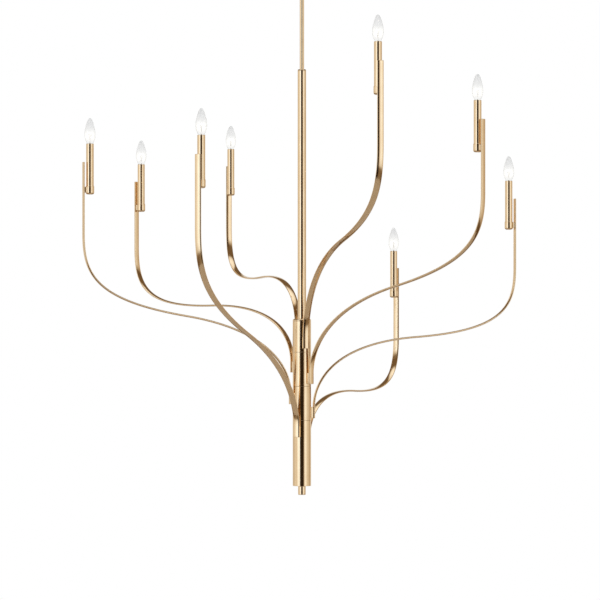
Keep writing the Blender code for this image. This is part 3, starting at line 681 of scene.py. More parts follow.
def rounded_box(name, size, centre, edge):
    """A box with rounded edges, with its grain along Z."""
    shape = bmesh.new()
    bmesh.ops.create_cube(shape, size=1.0)
    for corner in shape.verts:
        corner.co = Vector(corner.co[i] * size[i] + centre[i] for i in range(3))
    bmesh.ops.bevel(shape, geom=shape.edges[:], offset=edge, segments=CORNER_STEPS, profile=0.5,
                    affect="EDGES")
    lay_grain(shape)
    return mesh_from(shape, name)


def rod_mesh(name, radius, start, end, sides=32):
    """A plain rod between two points, to cut a hole."""
    start, end = Vector(start), Vector(end)
    shape = bmesh.new()
    bmesh.ops.create_cone(shape, cap_ends=True, segments=sides, radius1=radius, radius2=radius,
                          depth=(end - start).length)
    turn = (end - start).to_track_quat("Z", "Y").to_matrix().to_4x4()
    bmesh.ops.transform(shape, matrix=Matrix.Translation((start + end) / 2) @ turn, verts=shape.verts)
    return mesh_from(shape, name)


def combine(piece, operation, meshes, matrix=Matrix.Identity(4)):
    """Join meshes to a piece, or cut them from it, and keep only the result."""
    for mesh in meshes:
        tool = new_piece("tool", mesh)
        tool.matrix_world = matrix
        modifier = piece.modifiers.new("combine", "BOOLEAN")
        modifier.operation = operation
        modifier.solver = "EXACT"
        modifier.object = tool
        bpy.context.view_layer.update()
        evaluated = piece.evaluated_get(bpy.context.evaluated_depsgraph_get())
        result = bpy.data.meshes.new_from_object(evaluated)
        piece.modifiers.clear()
        result.name = piece.data.name
        piece.data = result
        bpy.data.objects.remove(tool)


def thread_wave(pitch, depth, top, bottom, outer):
    """A helical thread between two heights of a piece's outer side."""
    def wave(angle, radius, height):
        if radius < outer * SIDE_SHARE or not bottom <= height <= top:
            return radius
        phase = (height / pitch - angle / TAU) % 1.0
        fade = min(1.0, (top - height) / pitch, (height - bottom) / pitch)
        return radius - depth * fade * (0.5 - 0.5 * math.cos(TAU * phase))
    return wave


def steps_between(top, bottom, step):
    """Heights from top to bottom, both included, about a step apart."""
    count = max(1, round((top - bottom) / step))
    return [top + (bottom - top) * i / count for i in range(count + 1)]


def wall(radius, top, bottom, step):
    """Points of a profile down a straight wall, about a step apart."""
    return [(radius, height) for height in steps_between(top, bottom, step)]


def quarter(steps):
    """Angles over a quarter turn."""
    return [math.pi / 2 * step / steps for step in range(steps + 1)]


def raised(outline, height):
    """An outline of (radius, height) points, moved up."""
    return [(radius, height + rise) for radius, rise in outline]


def chamfered_tube(outer, inner, low, high, side, chamfer, bore_chamfer):
    """The profile of a tube with chamfered ends, round the given points of its outer side."""
    return ([(outer - chamfer, high.z)] + side
            + [(outer - chamfer, low.z), (inner + bore_chamfer, low.z), (inner, low.z + bore_chamfer),
               (inner, high.z - bore_chamfer), (inner + bore_chamfer, high.z)])


def turned_piece(name, node, profile, material, sides, soft=0.0, closed=True, wave=None, seat=None):
    """A turned piece that stands for a node, with the corners of its profile softened by a radius."""
    if soft:
        profile = softened(profile, soft, closed)
    piece = new_piece(name, turned_mesh(name, profile, sides, closed, wave))
    if seat is not None:
        piece.matrix_world = seat
    finish_piece(piece, node, material)


def tube_along(name, points, radius, sides=10):
    """A round wire along a list of points, as a mesh with closed ends."""
    curve = bpy.data.curves.new(name, "CURVE")
    curve.dimensions = "3D"
    curve.bevel_depth = radius
    curve.bevel_resolution = max(0, sides // 2 - 2)
    curve.use_fill_caps = True
    line = curve.splines.new("POLY")
    line.points.add(len(points) - 1)
    for slot, point in zip(line.points, points):
        slot.co = (*point, 1.0)
    holder = new_piece(name + "_route", curve)
    bpy.context.view_layer.update()
    mesh = bpy.data.meshes.new_from_object(holder.evaluated_get(bpy.context.evaluated_depsgraph_get()))
    bpy.data.objects.remove(holder)
    shape = bmesh.new()
    shape.from_mesh(mesh)
    bmesh.ops.remove_doubles(shape, verts=shape.verts, dist=MERGE_DISTANCE)
    bmesh.ops.recalc_face_normals(shape, faces=shape.faces)
    lay_grain(shape)
    shape.to_mesh(mesh)
    shape.free()
    mesh.name = name
    return mesh


# ---------------------------------------------------------------- ceiling fitting
STEM_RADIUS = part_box("stem_rod")[1].x
BORE_RADIUS = STEM_RADIUS + GAP   # of what the stem and the pipe pass through


def make_canopy():
    """A shallow spun dish with a rolled lip, holes for its two screws and one for the stem."""
    low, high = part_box("canopy")
    radius = high.x
    middle = (radius - CANOPY_CORNER, low.z + CANOPY_CORNER)

    def corner(size):
        return [(middle[0] + size * math.cos(a), middle[1] - size * math.sin(a))
                for a in quarter(CANOPY_ARC_STEPS)]

    lip_centre = high.z - CANOPY_LIP
    lip = [(radius + CANOPY_LIP * math.sin(a), lip_centre + CANOPY_LIP * math.cos(a))
           for a in [math.pi * step / LIP_STEPS for step in range(LIP_STEPS + 1)]]
    flat = [(BORE_RADIUS + (middle[0] - BORE_RADIUS) * share, low.z) for share in (0.75, 0.5, 0.25)]
    profile = (lip + corner(CANOPY_CORNER) + flat
               + [(BORE_RADIUS, low.z), (BORE_RADIUS, low.z + CANOPY_WALL)]
               + corner(CANOPY_CORNER - CANOPY_WALL)[::-1] + [(radius - CANOPY_WALL, high.z)])
    piece = new_piece("spun_canopy", turned_mesh("spun_canopy", profile, CANOPY_SIDES, closed=True))
    drills = []
    for number in (1, 2):
        seat = middle_of(f"canopy_screw_{number}")
        drills.append(rod_mesh("drill", CANOPY_SCREW_RADIUS + GAP, (seat.x, 0, low.z - DRILL_SPARE),
                               (seat.x, 0, low.z + 2 * CANOPY_WALL)))
    combine(piece, "DIFFERENCE", drills)
    finish_piece(piece, "canopy", BRASS)


def make_canopy_ring():
    """The knurled ring that is screwed to the stem and holds the canopy up."""
    low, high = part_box("canopy_ring")
    outer = high.x - KNURL_DEPTH / 2
    band_top = high.z - KNURL_MARGIN
    band_bottom = low.z + KNURL_MARGIN

    def knurl(angle, radius, height):
        if radius < outer * SIDE_SHARE or not band_bottom <= height <= band_top:
            return radius
        return radius + KNURL_DEPTH * (0.5 + 0.5 * math.cos(KNURLS * angle))

    profile = softened([(outer - RING_SHOULDER, high.z), (outer, high.z - RING_SHOULDER_DROP),
                        (outer, band_top + KNURL_GAP)], SMALL_SOFT, closed=False)
    profile += wall(outer, band_top, band_bottom, RING_SHOULDER_DROP)
    profile += [(outer, band_bottom - KNURL_GAP), (outer, low.z + RING_SHOULDER_DROP),
                (outer - RING_SHOULDER, low.z), (BORE_RADIUS + RING_LEAD_IN, low.z),
                (BORE_RADIUS, low.z + RING_LEAD_IN), (BORE_RADIUS, high.z - END_CHAMFER),
                (BORE_RADIUS + END_CHAMFER, high.z)]
    turned_piece("knurled_ring", "canopy_ring", profile, BRASS, KNURLS * KNURL_SIDES, wave=knurl)


def make_canopy_screws():
    """Two screws with a fine thread above the canopy and a domed knob under it."""
    canopy_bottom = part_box("canopy")[0].z
    shank = CANOPY_SCREW_RADIUS
    for number in (1, 2):
        low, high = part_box(f"canopy_screw_{number}")
        knob_top = canopy_bottom - GAP
        knob = (high.x - low.x) / 2
        height = knob_top - low.z
        thread_top = high.z - END_CHAMFER
        thread_bottom = canopy_bottom + SCREW_PLAIN
        side = [(shank, knob_top + KNOB_NECK), (shank, knob_top), (knob * KNOB_SHOULDER, knob_top),
                (knob, knob_top - height * KNOB_SHOULDER_DROP), (knob, low.z + height * KNOB_SIDE_END)]
        dome = [(knob * math.cos(a), low.z + height * KNOB_DOME * (1 - math.sin(a)))
                for a in quarter(KNOB_STEPS)[:-1]]
        profile = ([(0.0, high.z), (shank - END_CHAMFER, high.z)]
                   + wall(shank, thread_top, thread_bottom, SCREW_STEP)
                   + softened(side, SMALL_SOFT, closed=False) + dome + [(0.0, low.z)])
        wave = thread_wave(SCREW_PITCH, SCREW_THREAD_DEPTH, thread_top, thread_bottom, shank)
        turned_piece(f"knob_screw_{number}", f"canopy_screw_{number}", profile, BRASS, SCREW_SIDES,
                     closed=False, wave=wave, seat=Matrix.Translation(((low.x + high.x) / 2, 0, 0)))


def make_mounting_bar():
    """A pressed bar with rounded edges, a centre hole and two pairs of screw holes."""
    low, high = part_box("mounting_bar")
    piece = new_piece("ceiling_bar", rounded_box("ceiling_bar", high - low, (low + high) / 2, BAR_EDGE))
    screw_x = middle_of("canopy_screw_2").x
    holes = [(0.0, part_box("ceiling_nipple")[1].x + GAP)]
    for side in (-1, 1):
        holes.append((side * screw_x, CANOPY_SCREW_RADIUS + GAP))
        holes.append((side * BOX_SCREW_X, BOX_SCREW_HOLE))
    drills = [rod_mesh("drill", radius, (x, 0, high.z + DRILL_SPARE), (x, 0, low.z - DRILL_SPARE), 40)
              for x, radius in holes]
    combine(piece, "DIFFERENCE", drills)
    finish_piece(piece, "mounting_bar", STEEL)


def make_nipple_and_nut():
    """The threaded nipple that carries the stem, and the hexagonal nut on it."""
    low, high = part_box("ceiling_nipple")
    outer, inner = high.x, high.x - NIPPLE_WALL
    thread = (high.z - THREAD_END, low.z + THREAD_END)
    side = wall(outer, *thread, THREAD_PITCH / THREAD_STEPS)
    turned_piece("threaded_nipple", "ceiling_nipple",
                 chamfered_tube(outer, inner, low, high, side, END_CHAMFER, BORE_CHAMFER), STEEL,
                 PIPE_SIDES, wave=thread_wave(THREAD_PITCH, THREAD_DEPTH, *thread, outer))

    low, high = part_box("lock_nut")
    points = high.x
    flats = points * math.cos(math.pi / 6)
    bore = outer + GAP

    def hexagon(angle, radius, height):
        if radius <= bore + NUT_BORE_EDGE:
            return radius
        turn = (angle % (TAU / 6)) - TAU / 12
        return min(radius, flats / math.cos(turn))

    profile = [(flats, high.z), (points, high.z - NUT_CHAMFER), (points, low.z + NUT_CHAMFER),
               (flats, low.z), (bore + END_CHAMFER, low.z), (bore, low.z + END_CHAMFER),
               (bore, high.z - END_CHAMFER), (bore + END_CHAMFER, high.z)]
    turned_piece("hexagonal_nut", "lock_nut", profile, STEEL, NUT_SIDES, soft=FINE_SOFT, wave=hexagon)


# ---------------------------------------------------------------- stem, sleeve and pipe
def make_tube(name, node, thickness, sides):
    """A plain drawn tube with softened ends, in stations short enough for even grain."""
    low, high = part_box(node)
    outside = wall(high.x, high.z, low.z, TUBE_STEP)
    inside = wall(high.x - thickness, high.z, low.z, TUBE_STEP)
    turned_piece(name, node, outside + inside[::-1], BRASS, sides, soft=TUBE_SOFT)


def make_stem():
    """The stem, the sleeve over it and the sleeve's cap."""
    make_tube("drawn_stem", "stem_rod", STEM_WALL, TUBE_SIDES)
    make_tube("drawn_sleeve", "sleeve_tube", SLEEVE_WALL, ROUND_SIDES)
    low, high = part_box("sleeve_cap")
    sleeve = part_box("sleeve_tube")[1].x
    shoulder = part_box("sleeve_tube")[1].z + GAP
    plug = sleeve - SLEEVE_WALL - GAP
    profile = [(sleeve - SLEEVE_CAP_CHAMFER, high.z), (sleeve, high.z - SLEEVE_CAP_CHAMFER),
               (sleeve, shoulder), (plug, shoulder), (plug, low.z), (BORE_RADIUS, low.z),
               (BORE_RADIUS, high.z)]
    turned_piece("domed_sleeve_cap", "sleeve_cap", profile, BRASS, ROUND_SIDES, soft=SLEEVE_CAP_SOFT)


def make_coupler():
    """The coupler between the stem and the pipe, with shallow flutes for a grip."""
    low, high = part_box("stem_coupler")
    outer = high.x

    def fluted(angle, radius, height):
        if radius < outer * SIDE_SHARE:
            return radius
        return radius - FLUTE_DEPTH * (0.5 + 0.5 * math.cos(FLUTES * angle))

    side = wall(outer, high.z - COUPLER_END, low.z + COUPLER_END, COUPLER_STEP)
    profile = chamfered_tube(outer, BORE_RADIUS, low, high, side, COUPLER_CHAMFER, END_CHAMFER)
    turned_piece("stem_joint", "stem_coupler", profile, STEEL, ROUND_SIDES, wave=fluted)


def make_core_pipe():
    """The pipe through the hub, threaded at its lower end, with a hole for each collar's wires."""
    low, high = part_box("core_pipe")
    outer = STEM_RADIUS
    thread_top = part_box("hub_base")[1].z + PIPE_THREAD_RISE
    thread_bottom = low.z + END_CHAMFER
    side = wall(outer, high.z - END_CHAMFER, thread_top + THREAD_PITCH, HUB_STEP)
    side += wall(outer, thread_top, thread_bottom, THREAD_PITCH / THREAD_STEPS)
    profile = chamfered_tube(outer, outer - PIPE_WALL, low, high, side, END_CHAMFER, BORE_CHAMFER)
    wave = thread_wave(THREAD_PITCH, THREAD_DEPTH, thread_top, thread_bottom, outer)
    piece = new_piece("hub_pipe", turned_mesh("hub_pipe", profile, PIPE_SIDES, closed=True, wave=wave))
    drills = []
    for number in range(1, 5):
        low_z, high_z = (corner.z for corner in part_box(f"collar_{number}"))
        height = (high_z - COLLAR_WEB + low_z) / 2
        drills.append(rod_mesh("drill", PIPE_HOLE_RADIUS, (0, 0, height), (2 * outer, 0, height), 24))
    combine(piece, "DIFFERENCE", drills)
    finish_piece(piece, "core_pipe", STEEL)


# ---------------------------------------------------------------- hub
HUB_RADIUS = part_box("hub_cap")[1].x
HUB_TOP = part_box("hub_cap")[1].z
FOOT_REACH = HUB_RADIUS + FOOT_STANDOFF + ARM_THICKNESS / 2


def heading_of(index):
    """The direction of an arm from the axis, as an angle from +X."""
    seat = middle_of(f"bulb_{index}")
    return math.atan2(seat.y, seat.x)


def arms_on(number):
    return (2 * number - 1, 2 * number)


def make_collar(number):
    """A collar with a softened edge, its web, and the standoff blocks of its two arms."""
    low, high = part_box(f"collar_{number}")
    inner = HUB_RADIUS - HUB_WALL
    profile = wall(HUB_RADIUS, high.z, low.z, HUB_STEP)
    if number == 4:
        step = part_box("hub_base")[1].z + GAP
        profile += [(inner + BASE_LEDGE, low.z), (inner + BASE_LEDGE, step), (inner, step)]
    else:
        profile.append((inner, low.z))
    web = high.z - COLLAR_WEB
    profile += [(inner, web), (BORE_RADIUS, web), (BORE_RADIUS, high.z)]
    name = f"hub_collar_{number}"
    profile = softened(profile, TUBE_SOFT, closed=True)
    piece = new_piece(name, turned_mesh(name, profile, ROUND_SIDES, closed=True))
    half = FOOT_BLOCK_WIDTH / 2
    start = math.sqrt(HUB_RADIUS ** 2 - half ** 2) - HUB_WALL / 2
    end = FOOT_REACH - ARM_THICKNESS / 2 - GAP
    for index in arms_on(number):
        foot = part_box(f"arm_{index}")[0].z
        middle = foot + FOOT_BLOCK_HEIGHT / 2
        turn = Matrix.Rotation(heading_of(index), 4, "Z")
        block = rounded_box("block", (end - start, FOOT_BLOCK_WIDTH, FOOT_BLOCK_HEIGHT),
                            ((start + end) / 2, 0, middle), FOOT_BLOCK_EDGE)
        way = rod_mesh("way", WIRE_HOLE_RADIUS, (HUB_RADIUS - 2 * HUB_WALL, 0, middle),
                       (FOOT_REACH, 0, middle))
        combine(piece, "UNION", [block], turn)
        combine(piece, "DIFFERENCE", [way], turn)
    finish_piece(piece, f"collar_{number}", BRASS)


def make_hub_ends():
    """The cap on the hub, the plate under it, the washer and the finial."""
    low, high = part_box("hub_cap")
    profile = [(BORE_RADIUS + LID_FLAT, high.z), (HUB_RADIUS - LID_CHAMFER, high.z),
               (HUB_RADIUS, high.z - LID_CHAMFER), (HUB_RADIUS, low.z), (BORE_RADIUS, low.z),
               (BORE_RADIUS, high.z)]
    turned_piece("hub_lid", "hub_cap", profile, BRASS, ROUND_SIDES, soft=LID_SOFT)

    for name, node, material, sides, soft in (
            ("hub_plate", "hub_base", BRASS, ROUND_SIDES, PLATE_SOFT),
            ("flat_washer", "finial_washer", STEEL, TUBE_SIDES, FINE_SOFT)):
        low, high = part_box(node)
        profile = ring_profile(high.x, BORE_RADIUS, high.z, low.z)
        turned_piece(name, node, profile, material, sides, soft=soft)

    low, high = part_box("finial")
    bore_end = high.z - FINIAL_BORE_DEPTH
    profile = [(0.0, bore_end), (BORE_RADIUS, bore_end), (BORE_RADIUS, high.z), (high.x, high.z),
               (high.x, low.z + FINIAL_CHAMFER), (high.x - FINIAL_CHAMFER, low.z), (0.0, low.z)]
    turned_piece("finial_knob", "finial", profile, BRASS, ROUND_SIDES, soft=PLATE_SOFT, closed=False)


# ---------------------------------------------------------------- arms
def toward(start, end, share):
    return start + (end - start) * share


def bend(start, start_handle, end_handle, end):
    """Points of a cubic curve after its first point."""
    points = []
    for step in range(1, BEND_STEPS + 1):
        t = step / BEND_STEPS
        points.append(start * (1 - t) ** 3 + start_handle * (3 * (1 - t) ** 2 * t)
                      + end_handle * (3 * (1 - t) * t * t) + end * t ** 3)
    return points


def straight(start, end, step=0.012):
    """Points on a straight stretch after its first point."""
    count = max(1, round((end - start).length / step))
    return [toward(start, end, number / count) for number in range(1, count + 1)]


def arm_line(index):
    """The middle line of an arm as (distance from the axis, height), from its foot to its top."""
    shape = BENDS[index - 1]
    low, high = (corner.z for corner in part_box(f"arm_{index}"))
    seat = middle_of(f"bulb_{index}")
    top_reach = math.hypot(seat.x, seat.y) + ARM_TO_CANDLE
    middle = Vector((FOOT_REACH + (top_reach - FOOT_REACH) * MIDDLE_SHARE, HUB_TOP + shape.middle))
    slope = math.tan(math.radians(shape.slope))
    low_corner = Vector((FOOT_REACH, middle.y - (middle.x - FOOT_REACH) * slope))
    high_corner = Vector((top_reach, middle.y + (top_reach - middle.x) * slope))
    foot = Vector((FOOT_REACH, low))
    low_start = Vector((FOOT_REACH, low + FOOT_BLOCK_HEIGHT))
    high_end = Vector((top_reach, high_corner.y + TOP_BEND_RISE))
    top = Vector((top_reach, high))
    lower = bend(low_start, toward(low_start, low_corner, FOOT_HANDLE),
                 toward(middle, low_corner, MIDDLE_HANDLE_IN), middle)
    upper = bend(middle, toward(middle, high_corner, MIDDLE_HANDLE_OUT),
                 toward(high_end, high_corner, TOP_HANDLE), high_end)
    return [foot] + straight(foot, low_start) + lower + upper + straight(high_end, top)


def arm_section():
    """Points round the section as (across the arm's thickness, out of its plane).

    Each broad face is half an ellipse, and each edge is a narrow flat.
    """
    half_edge = ARM_EDGE / 2
    crown = ARM_THICKNESS / 2 - half_edge
    face = []
    for step in range(ARM_FACE_STEPS + 1):
        angle = math.pi * (step / ARM_FACE_STEPS - 0.5)
        face.append((half_edge + crown * math.cos(angle), ARM_WIDTH / 2 * math.sin(angle)))
    return face + [(-across, -out) for across, out in face]


def section_ring(shape, frame_of_station, section, inset):
    """A ring of vertices round one station, drawn in by an inset near the arm's ends."""
    place, across_dir, out_dir = frame_of_station
    thin = 1 - inset / (ARM_THICKNESS / 2)
    narrow = 1 - inset / (ARM_WIDTH / 2)
    return [shape.verts.new(place + across_dir * (across * thin) + out_dir * (out * narrow))
            for across, out in section]


def arm_mesh(index):
    """Sweep the section along the arm's line, with rounded ends."""
    line = arm_line(index)
    angle = heading_of(index)
    ahead = Vector((math.cos(angle), math.sin(angle), 0.0))
    out_dir = Vector((-math.sin(angle), math.cos(angle), 0.0))
    up = Vector((0.0, 0.0, 1.0))
    section = arm_section()
    rounds = [(ARM_END_ROUND * (1 - math.cos(a)), ARM_END_ROUND * (1 - math.sin(a)))
              for a in quarter(ARM_END_STEPS)]
    stations = [(line[0] + Vector((0.0, rise)), Vector((0.0, 1.0)), inset) for rise, inset in rounds]
    for number in range(1, len(line) - 1):
        stations.append((line[number], (line[number + 1] - line[number - 1]).normalized(), 0.0))
    stations += [(line[-1] - Vector((0.0, rise)), Vector((0.0, 1.0)), inset)
                 for rise, inset in reversed(rounds)]

    shape = bmesh.new()
    layer = shape.loops.layers.uv.new("grain")
    rings = []
    lengths = [0.0]
    for number, (point, tangent, inset) in enumerate(stations):
        if number:
            lengths.append(lengths[-1] + (point - stations[number - 1][0]).length)
        place = ahead * point.x + up * point.y
        across_dir = ahead * tangent.y - up * tangent.x
        rings.append(section_ring(shape, (place, across_dir, out_dir), section, inset))
    rounds_about = [0.0]
    count = len(section)
    for number in range(count):
        here, after = section[number], section[(number + 1) % count]
        rounds_about.append(rounds_about[-1] + math.dist(here, after))
    for lower in range(len(rings) - 1):
        for side in range(count):
            after = (side + 1) % count
            corners = ((lower, side, side), (lower, after, side + 1), (lower + 1, after, side + 1),
                       (lower + 1, side, side))
            face = shape.faces.new([rings[ring][spot] for ring, spot, turn in corners])
            for loop, (ring, spot, turn) in zip(face.loops, corners):
                loop[layer].uv = (rounds_about[turn], lengths[ring])
    for ring in (rings[0], rings[-1]):
        face = shape.faces.new(ring)
        for loop, (across, out) in zip(face.loops, section):
            loop[layer].uv = (out, across)
    bmesh.ops.recalc_face_normals(shape, faces=shape.faces)
    return mesh_from(shape, f"curved_arm_{index}")


def make_arm(index):
    piece = new_piece(f"curved_arm_{index}", arm_mesh(index))
    finish_piece(piece, f"arm_{index}", BRASS, degrees=ARM_SMOOTH_DEGREES)


# ---------------------------------------------------------------- candles
def candle_seat(index):
    """The middle of the underside of a cup, and the turn that faces its bridge outwards."""
    seat = middle_of(f"bulb_{index}")
    place = Matrix.Translation((seat.x, seat.y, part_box(f"candle_cup_{index}")[0].z))
    return place @ Matrix.Rotation(heading_of(index), 4, "Z")


def height_in(index, node, top):
    """A height of a candle's node, from the underside of its cup."""
    low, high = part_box(f"{node}_{index}")
    return (high.z if top else low.z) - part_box(f"candle_cup_{index}")[0].z


def make_cup(index):
    """A cup with a rounded underside, a groove under its rim, a stepped bore and its bridge."""
    rim = height_in(index, "candle_cup", True)
    foot = CUP_RADIUS * CUP_FOOT_SHARE
    groove = rim - CUP_GROOVE_DROP
    depth = CUP_GROOVE_DEPTH
    outer = [(CUP_RADIUS - END_CHAMFER, rim), (CUP_RADIUS, rim - END_CHAMFER),
             (CUP_RADIUS, groove + depth), (CUP_RADIUS - depth, groove), (CUP_RADIUS, groove - depth)]
    outer += wall(CUP_RADIUS, groove - 2 * depth, CUP_DOME, CUP_STEP)
    outer += [(foot + (CUP_RADIUS - foot) * math.cos(a), CUP_DOME * (1 - math.sin(a)))
              for a in quarter(CUP_DOME_STEPS)[1:-1]]
    outer += [(foot, 0.0), (0.0, 0.0)]
    bore = TUBE_RADIUS + GAP
    seat_radius = TUBE_RADIUS - TUBE_WALL
    inside = [(0.0, CUP_FLOOR), (seat_radius, CUP_FLOOR), (seat_radius, CUP_LEDGE), (bore, CUP_LEDGE),
              (bore, rim - BORE_CHAMFER), (bore + BORE_CHAMFER, rim)]
    name = f"bobeche_{index}"
    piece = new_piece(name, turned_mesh(name, inside + outer, CANDLE_SIDES, closed=False))

    bridge_end = ARM_TO_CANDLE - ARM_THICKNESS / 2 - GAP
    bridge_start = math.sqrt(CUP_RADIUS ** 2 - (BRIDGE_WIDTH / 2) ** 2) - BRIDGE_SINK
    bridge_top = rim - BRIDGE_BELOW_RIM
    block = rounded_box("bridge", (bridge_end - bridge_start, BRIDGE_WIDTH, BRIDGE_HEIGHT),
                        ((bridge_start + bridge_end) / 2, 0, bridge_top - BRIDGE_HEIGHT / 2),
                        BRIDGE_EDGE)
    keep_bore = rod_mesh("bore", bore, (0, 0, CUP_LEDGE), (0, 0, 2 * rim), CANDLE_SIDES)
    way_height = (CUP_FLOOR + CUP_LEDGE) / 2
    way = rod_mesh("way", WIRE_HOLE_RADIUS, (CUP_WAY_START, 0, way_height),
                   (ARM_TO_CANDLE, 0, way_height))
    combine(piece, "UNION", [block])
    combine(piece, "DIFFERENCE", [keep_bore, way])
    piece.matrix_world = candle_seat(index)
    finish_piece(piece, f"candle_cup_{index}", BRASS)


def make_candle_tube(index):
    """The metal tube over the socket, with its rim rolled inwards."""
    top = height_in(index, "candle_tube", True)
    low = height_in(index, "candle_tube", False)
    inner = TUBE_RADIUS - TUBE_WALL
    outside = wall(TUBE_RADIUS, top - TUBE_WALL, low, CANDLE_STEP)
    inside = wall(inner, top - TUBE_WALL, low, CANDLE_STEP)
    roll = [(TUBE_RADIUS - TUBE_WALL * (1 - math.sin(a)), top - TUBE_WALL * (1 - math.cos(a)))
            for a in quarter(TUBE_ROLL_STEPS)]
    profile = roll + outside[1:] + inside[::-1] + [(inner, top - TUBE_RIM_DROP)]
    turned_piece(f"candle_sleeve_{index}", f"candle_tube_{index}", profile, BRASS, CANDLE_SIDES,
                 soft=FINE_SOFT, seat=candle_seat(index))


def make_socket(index):
    """A candelabra socket on its post, with a bore in its mouth for the bulb's screw cap."""
    top = height_in(index, "lamp_socket", True)
    low = height_in(index, "lamp_socket", False)
    bore = BASE_RADIUS + GAP
    bore_end = top - BASE_LENGTH - GAP
    side = [(SOCKET_RADIUS - inset, top - drop) for inset, drop in SOCKET_SIDE]
    body_bottom = side[-1][1]
    profile = ([(0.0, bore_end), (bore, bore_end), (bore, top - SOCKET_LIP), (bore + SOCKET_LIP, top)]
               + side + [(SOCKET_POST_RADIUS, body_bottom - SOCKET_TAPER), (SOCKET_POST_RADIUS, low),
                         (0.0, low)])
    turned_piece(f"candelabra_socket_{index}", f"lamp_socket_{index}", profile, SOCKET, CANDLE_SIDES,
                 soft=TUBE_SOFT, closed=False, seat=candle_seat(index))


# ---------------------------------------------------------------- bulbs
def smooth_line(points, steps):
    """A Catmull-Rom curve through points of (height share, radius share)."""
    padded = [points[0]] + list(points) + [points[-1]]
    line = []
    for number in range(1, len(padded) - 2):
        before, start, end, after = (Vector(p) for p in padded[number - 1:number + 3])
        for step in range(steps):
            t = step / steps
            line.append(0.5 * (2 * start + (end - before) * t
                               + (2 * before - 5 * start + 4 * end - after) * t * t
                               + (3 * start - before - 3 * end + after) * t ** 3))
    return line + [Vector(points[-1])]


def bulb_parts(index):
    """Meshes of one bulb, from the underside of its cup: (name, mesh, material)."""
    tube_top = height_in(index, "candle_tube", True)
    tip = height_in(index, "bulb", True)
    base_low = height_in(index, "bulb", False)
    base_top = base_low + BASE_LENGTH
    rise = tip - tube_top
    outline = [(max(0.0, BULB_RADIUS * p.y), tube_top + rise * p.x)
               for p in smooth_line(BULB_SHAPE, BULB_STEPS)]
    outline[0] = (0.0, tip)
    neck = BASE_RADIUS - NECK_INSET
    neck_end = base_top - NECK_INSET
    inner = [(radius - GLASS_WALL, height) for radius, height in reversed(outline)
             if radius > HOLLOW_FROM * GLASS_WALL]
    inner_top = inner[-1][1] + GLASS_WALL
    shell = outline + [(neck, neck_end), (neck - GLASS_WALL, neck_end)] + inner[:-1]
    shell += [(inner[-1][0], inner_top - GLASS_WALL), (0.0, inner_top)]
    yield "bulb_envelope", turned_mesh("bulb_envelope", shell, CANDLE_SIDES, closed=False), GLASS
    yield "bulb_screw_cap", screw_cap_mesh(base_top, base_low), NICKEL
    for name, shape, height, soft, sides, material in (
            ("bulb_mount", MOUNT_OUTLINE, base_top, 0.0006, 32, MOUNT_GLASS),
            ("bulb_insulator", INSULATOR_OUTLINE, base_low, 0.0004, 48, INSULATOR),
            ("bulb_contact", CONTACT_OUTLINE, base_low, 0.0003, 32, SOLDER)):
        profile = softened(raised(shape, height), soft, closed=False)
        yield name, turned_mesh(name, profile, sides, closed=False), material
    yield from filament_parts(base_top)


def screw_cap_mesh(base_top, base_low):
    """The screw cap: a rolled rim, a helical thread and a waist above the insulator."""
    outer = BASE_RADIUS
    thread = (base_top - CAP_THREAD_DROP, base_low + CAP_THREAD_RISE)
    profile = ([(outer - inset, base_top - drop) for inset, drop in CAP_RIM]
               + wall(outer, *thread, BASE_THREAD_PITCH / CAP_THREAD_STEPS)
               + [(outer - CAP_STEP, thread[1] - 2 * CAP_STEP)] + raised(CAP_WAIST, base_low)
               + [(outer - CAP_WALL, thread[0]), (outer - CAP_RIM_WALL, base_top)])
    wave = thread_wave(BASE_THREAD_PITCH, BASE_THREAD_DEPTH, *thread, outer)
    return turned_mesh("bulb_screw_cap", profile, 48, closed=True, wave=wave)


def filament_parts(base_top):
    """Two lead wires up from the mount, the coiled filament between them and its middle support."""
    bead = base_top + BEAD_RISE
    arch = base_top + ARCH_RISE

    def route(foot, hook):
        return ([(aside, bead + rise) for aside, rise in foot]
                + [(aside, arch + rise) for aside, rise in hook])

    for side, word in ((-1, "left"), (1, "right")):
        points = [(side * aside, 0.0, height) for aside, height in route(LEAD_FOOT, LEAD_HOOK)]
        yield f"bulb_lead_{word}", tube_along("bulb_lead", points, LEAD_RADIUS), WIRE
    support = [(0.0, aside, height) for aside, height in route(SUPPORT_FOOT, SUPPORT_HOOK)]
    yield "bulb_support", tube_along("bulb_support", support, SUPPORT_RADIUS), WIRE
    coil = []
    count = COIL_TURNS * COIL_SAMPLES
    for number in range(count + 1):
        share = number / count
        angle = TAU * number / COIL_SAMPLES
        centre = arch - COIL_SAG * abs(2 * share - 1) ** 2
        coil.append((-COIL_HALF_LENGTH + 2 * COIL_HALF_LENGTH * share, COIL_RADIUS * math.cos(angle),
                     centre + COIL_RADIUS * math.sin(angle)))
    yield "bulb_filament", tube_along("bulb_filament", coil, FILAMENT_RADIUS, sides=6), FILAMENT


def make_bulb(index, meshes):
    """The pieces of one bulb, each with a copy of its mesh."""
    for name, mesh, material in meshes:
        piece = new_piece(f"{name}_{index}", mesh.copy())
        piece.matrix_world = candle_seat(index)
        finish_piece(piece, f"bulb_{index}", material, replaces=name == "bulb_envelope")


# ---------------------------------------------------------------- studio
def make_camera():
    data = bpy.data.cameras.new("photo_camera")
    data.lens = LENS_MM
    data.sensor_width = SENSOR_MM
    data.clip_end = 100.0
    camera = bpy.data.objects.new("photo_camera", data)
    camera.location = (CAMERA_X, -CAMERA_DISTANCE, EYE_LEVEL)
    camera.rotation_euler = (math.pi / 2, 0.0, 0.0)
    bpy.context.scene.collection.objects.link(camera)
    bpy.context.scene.camera = camera


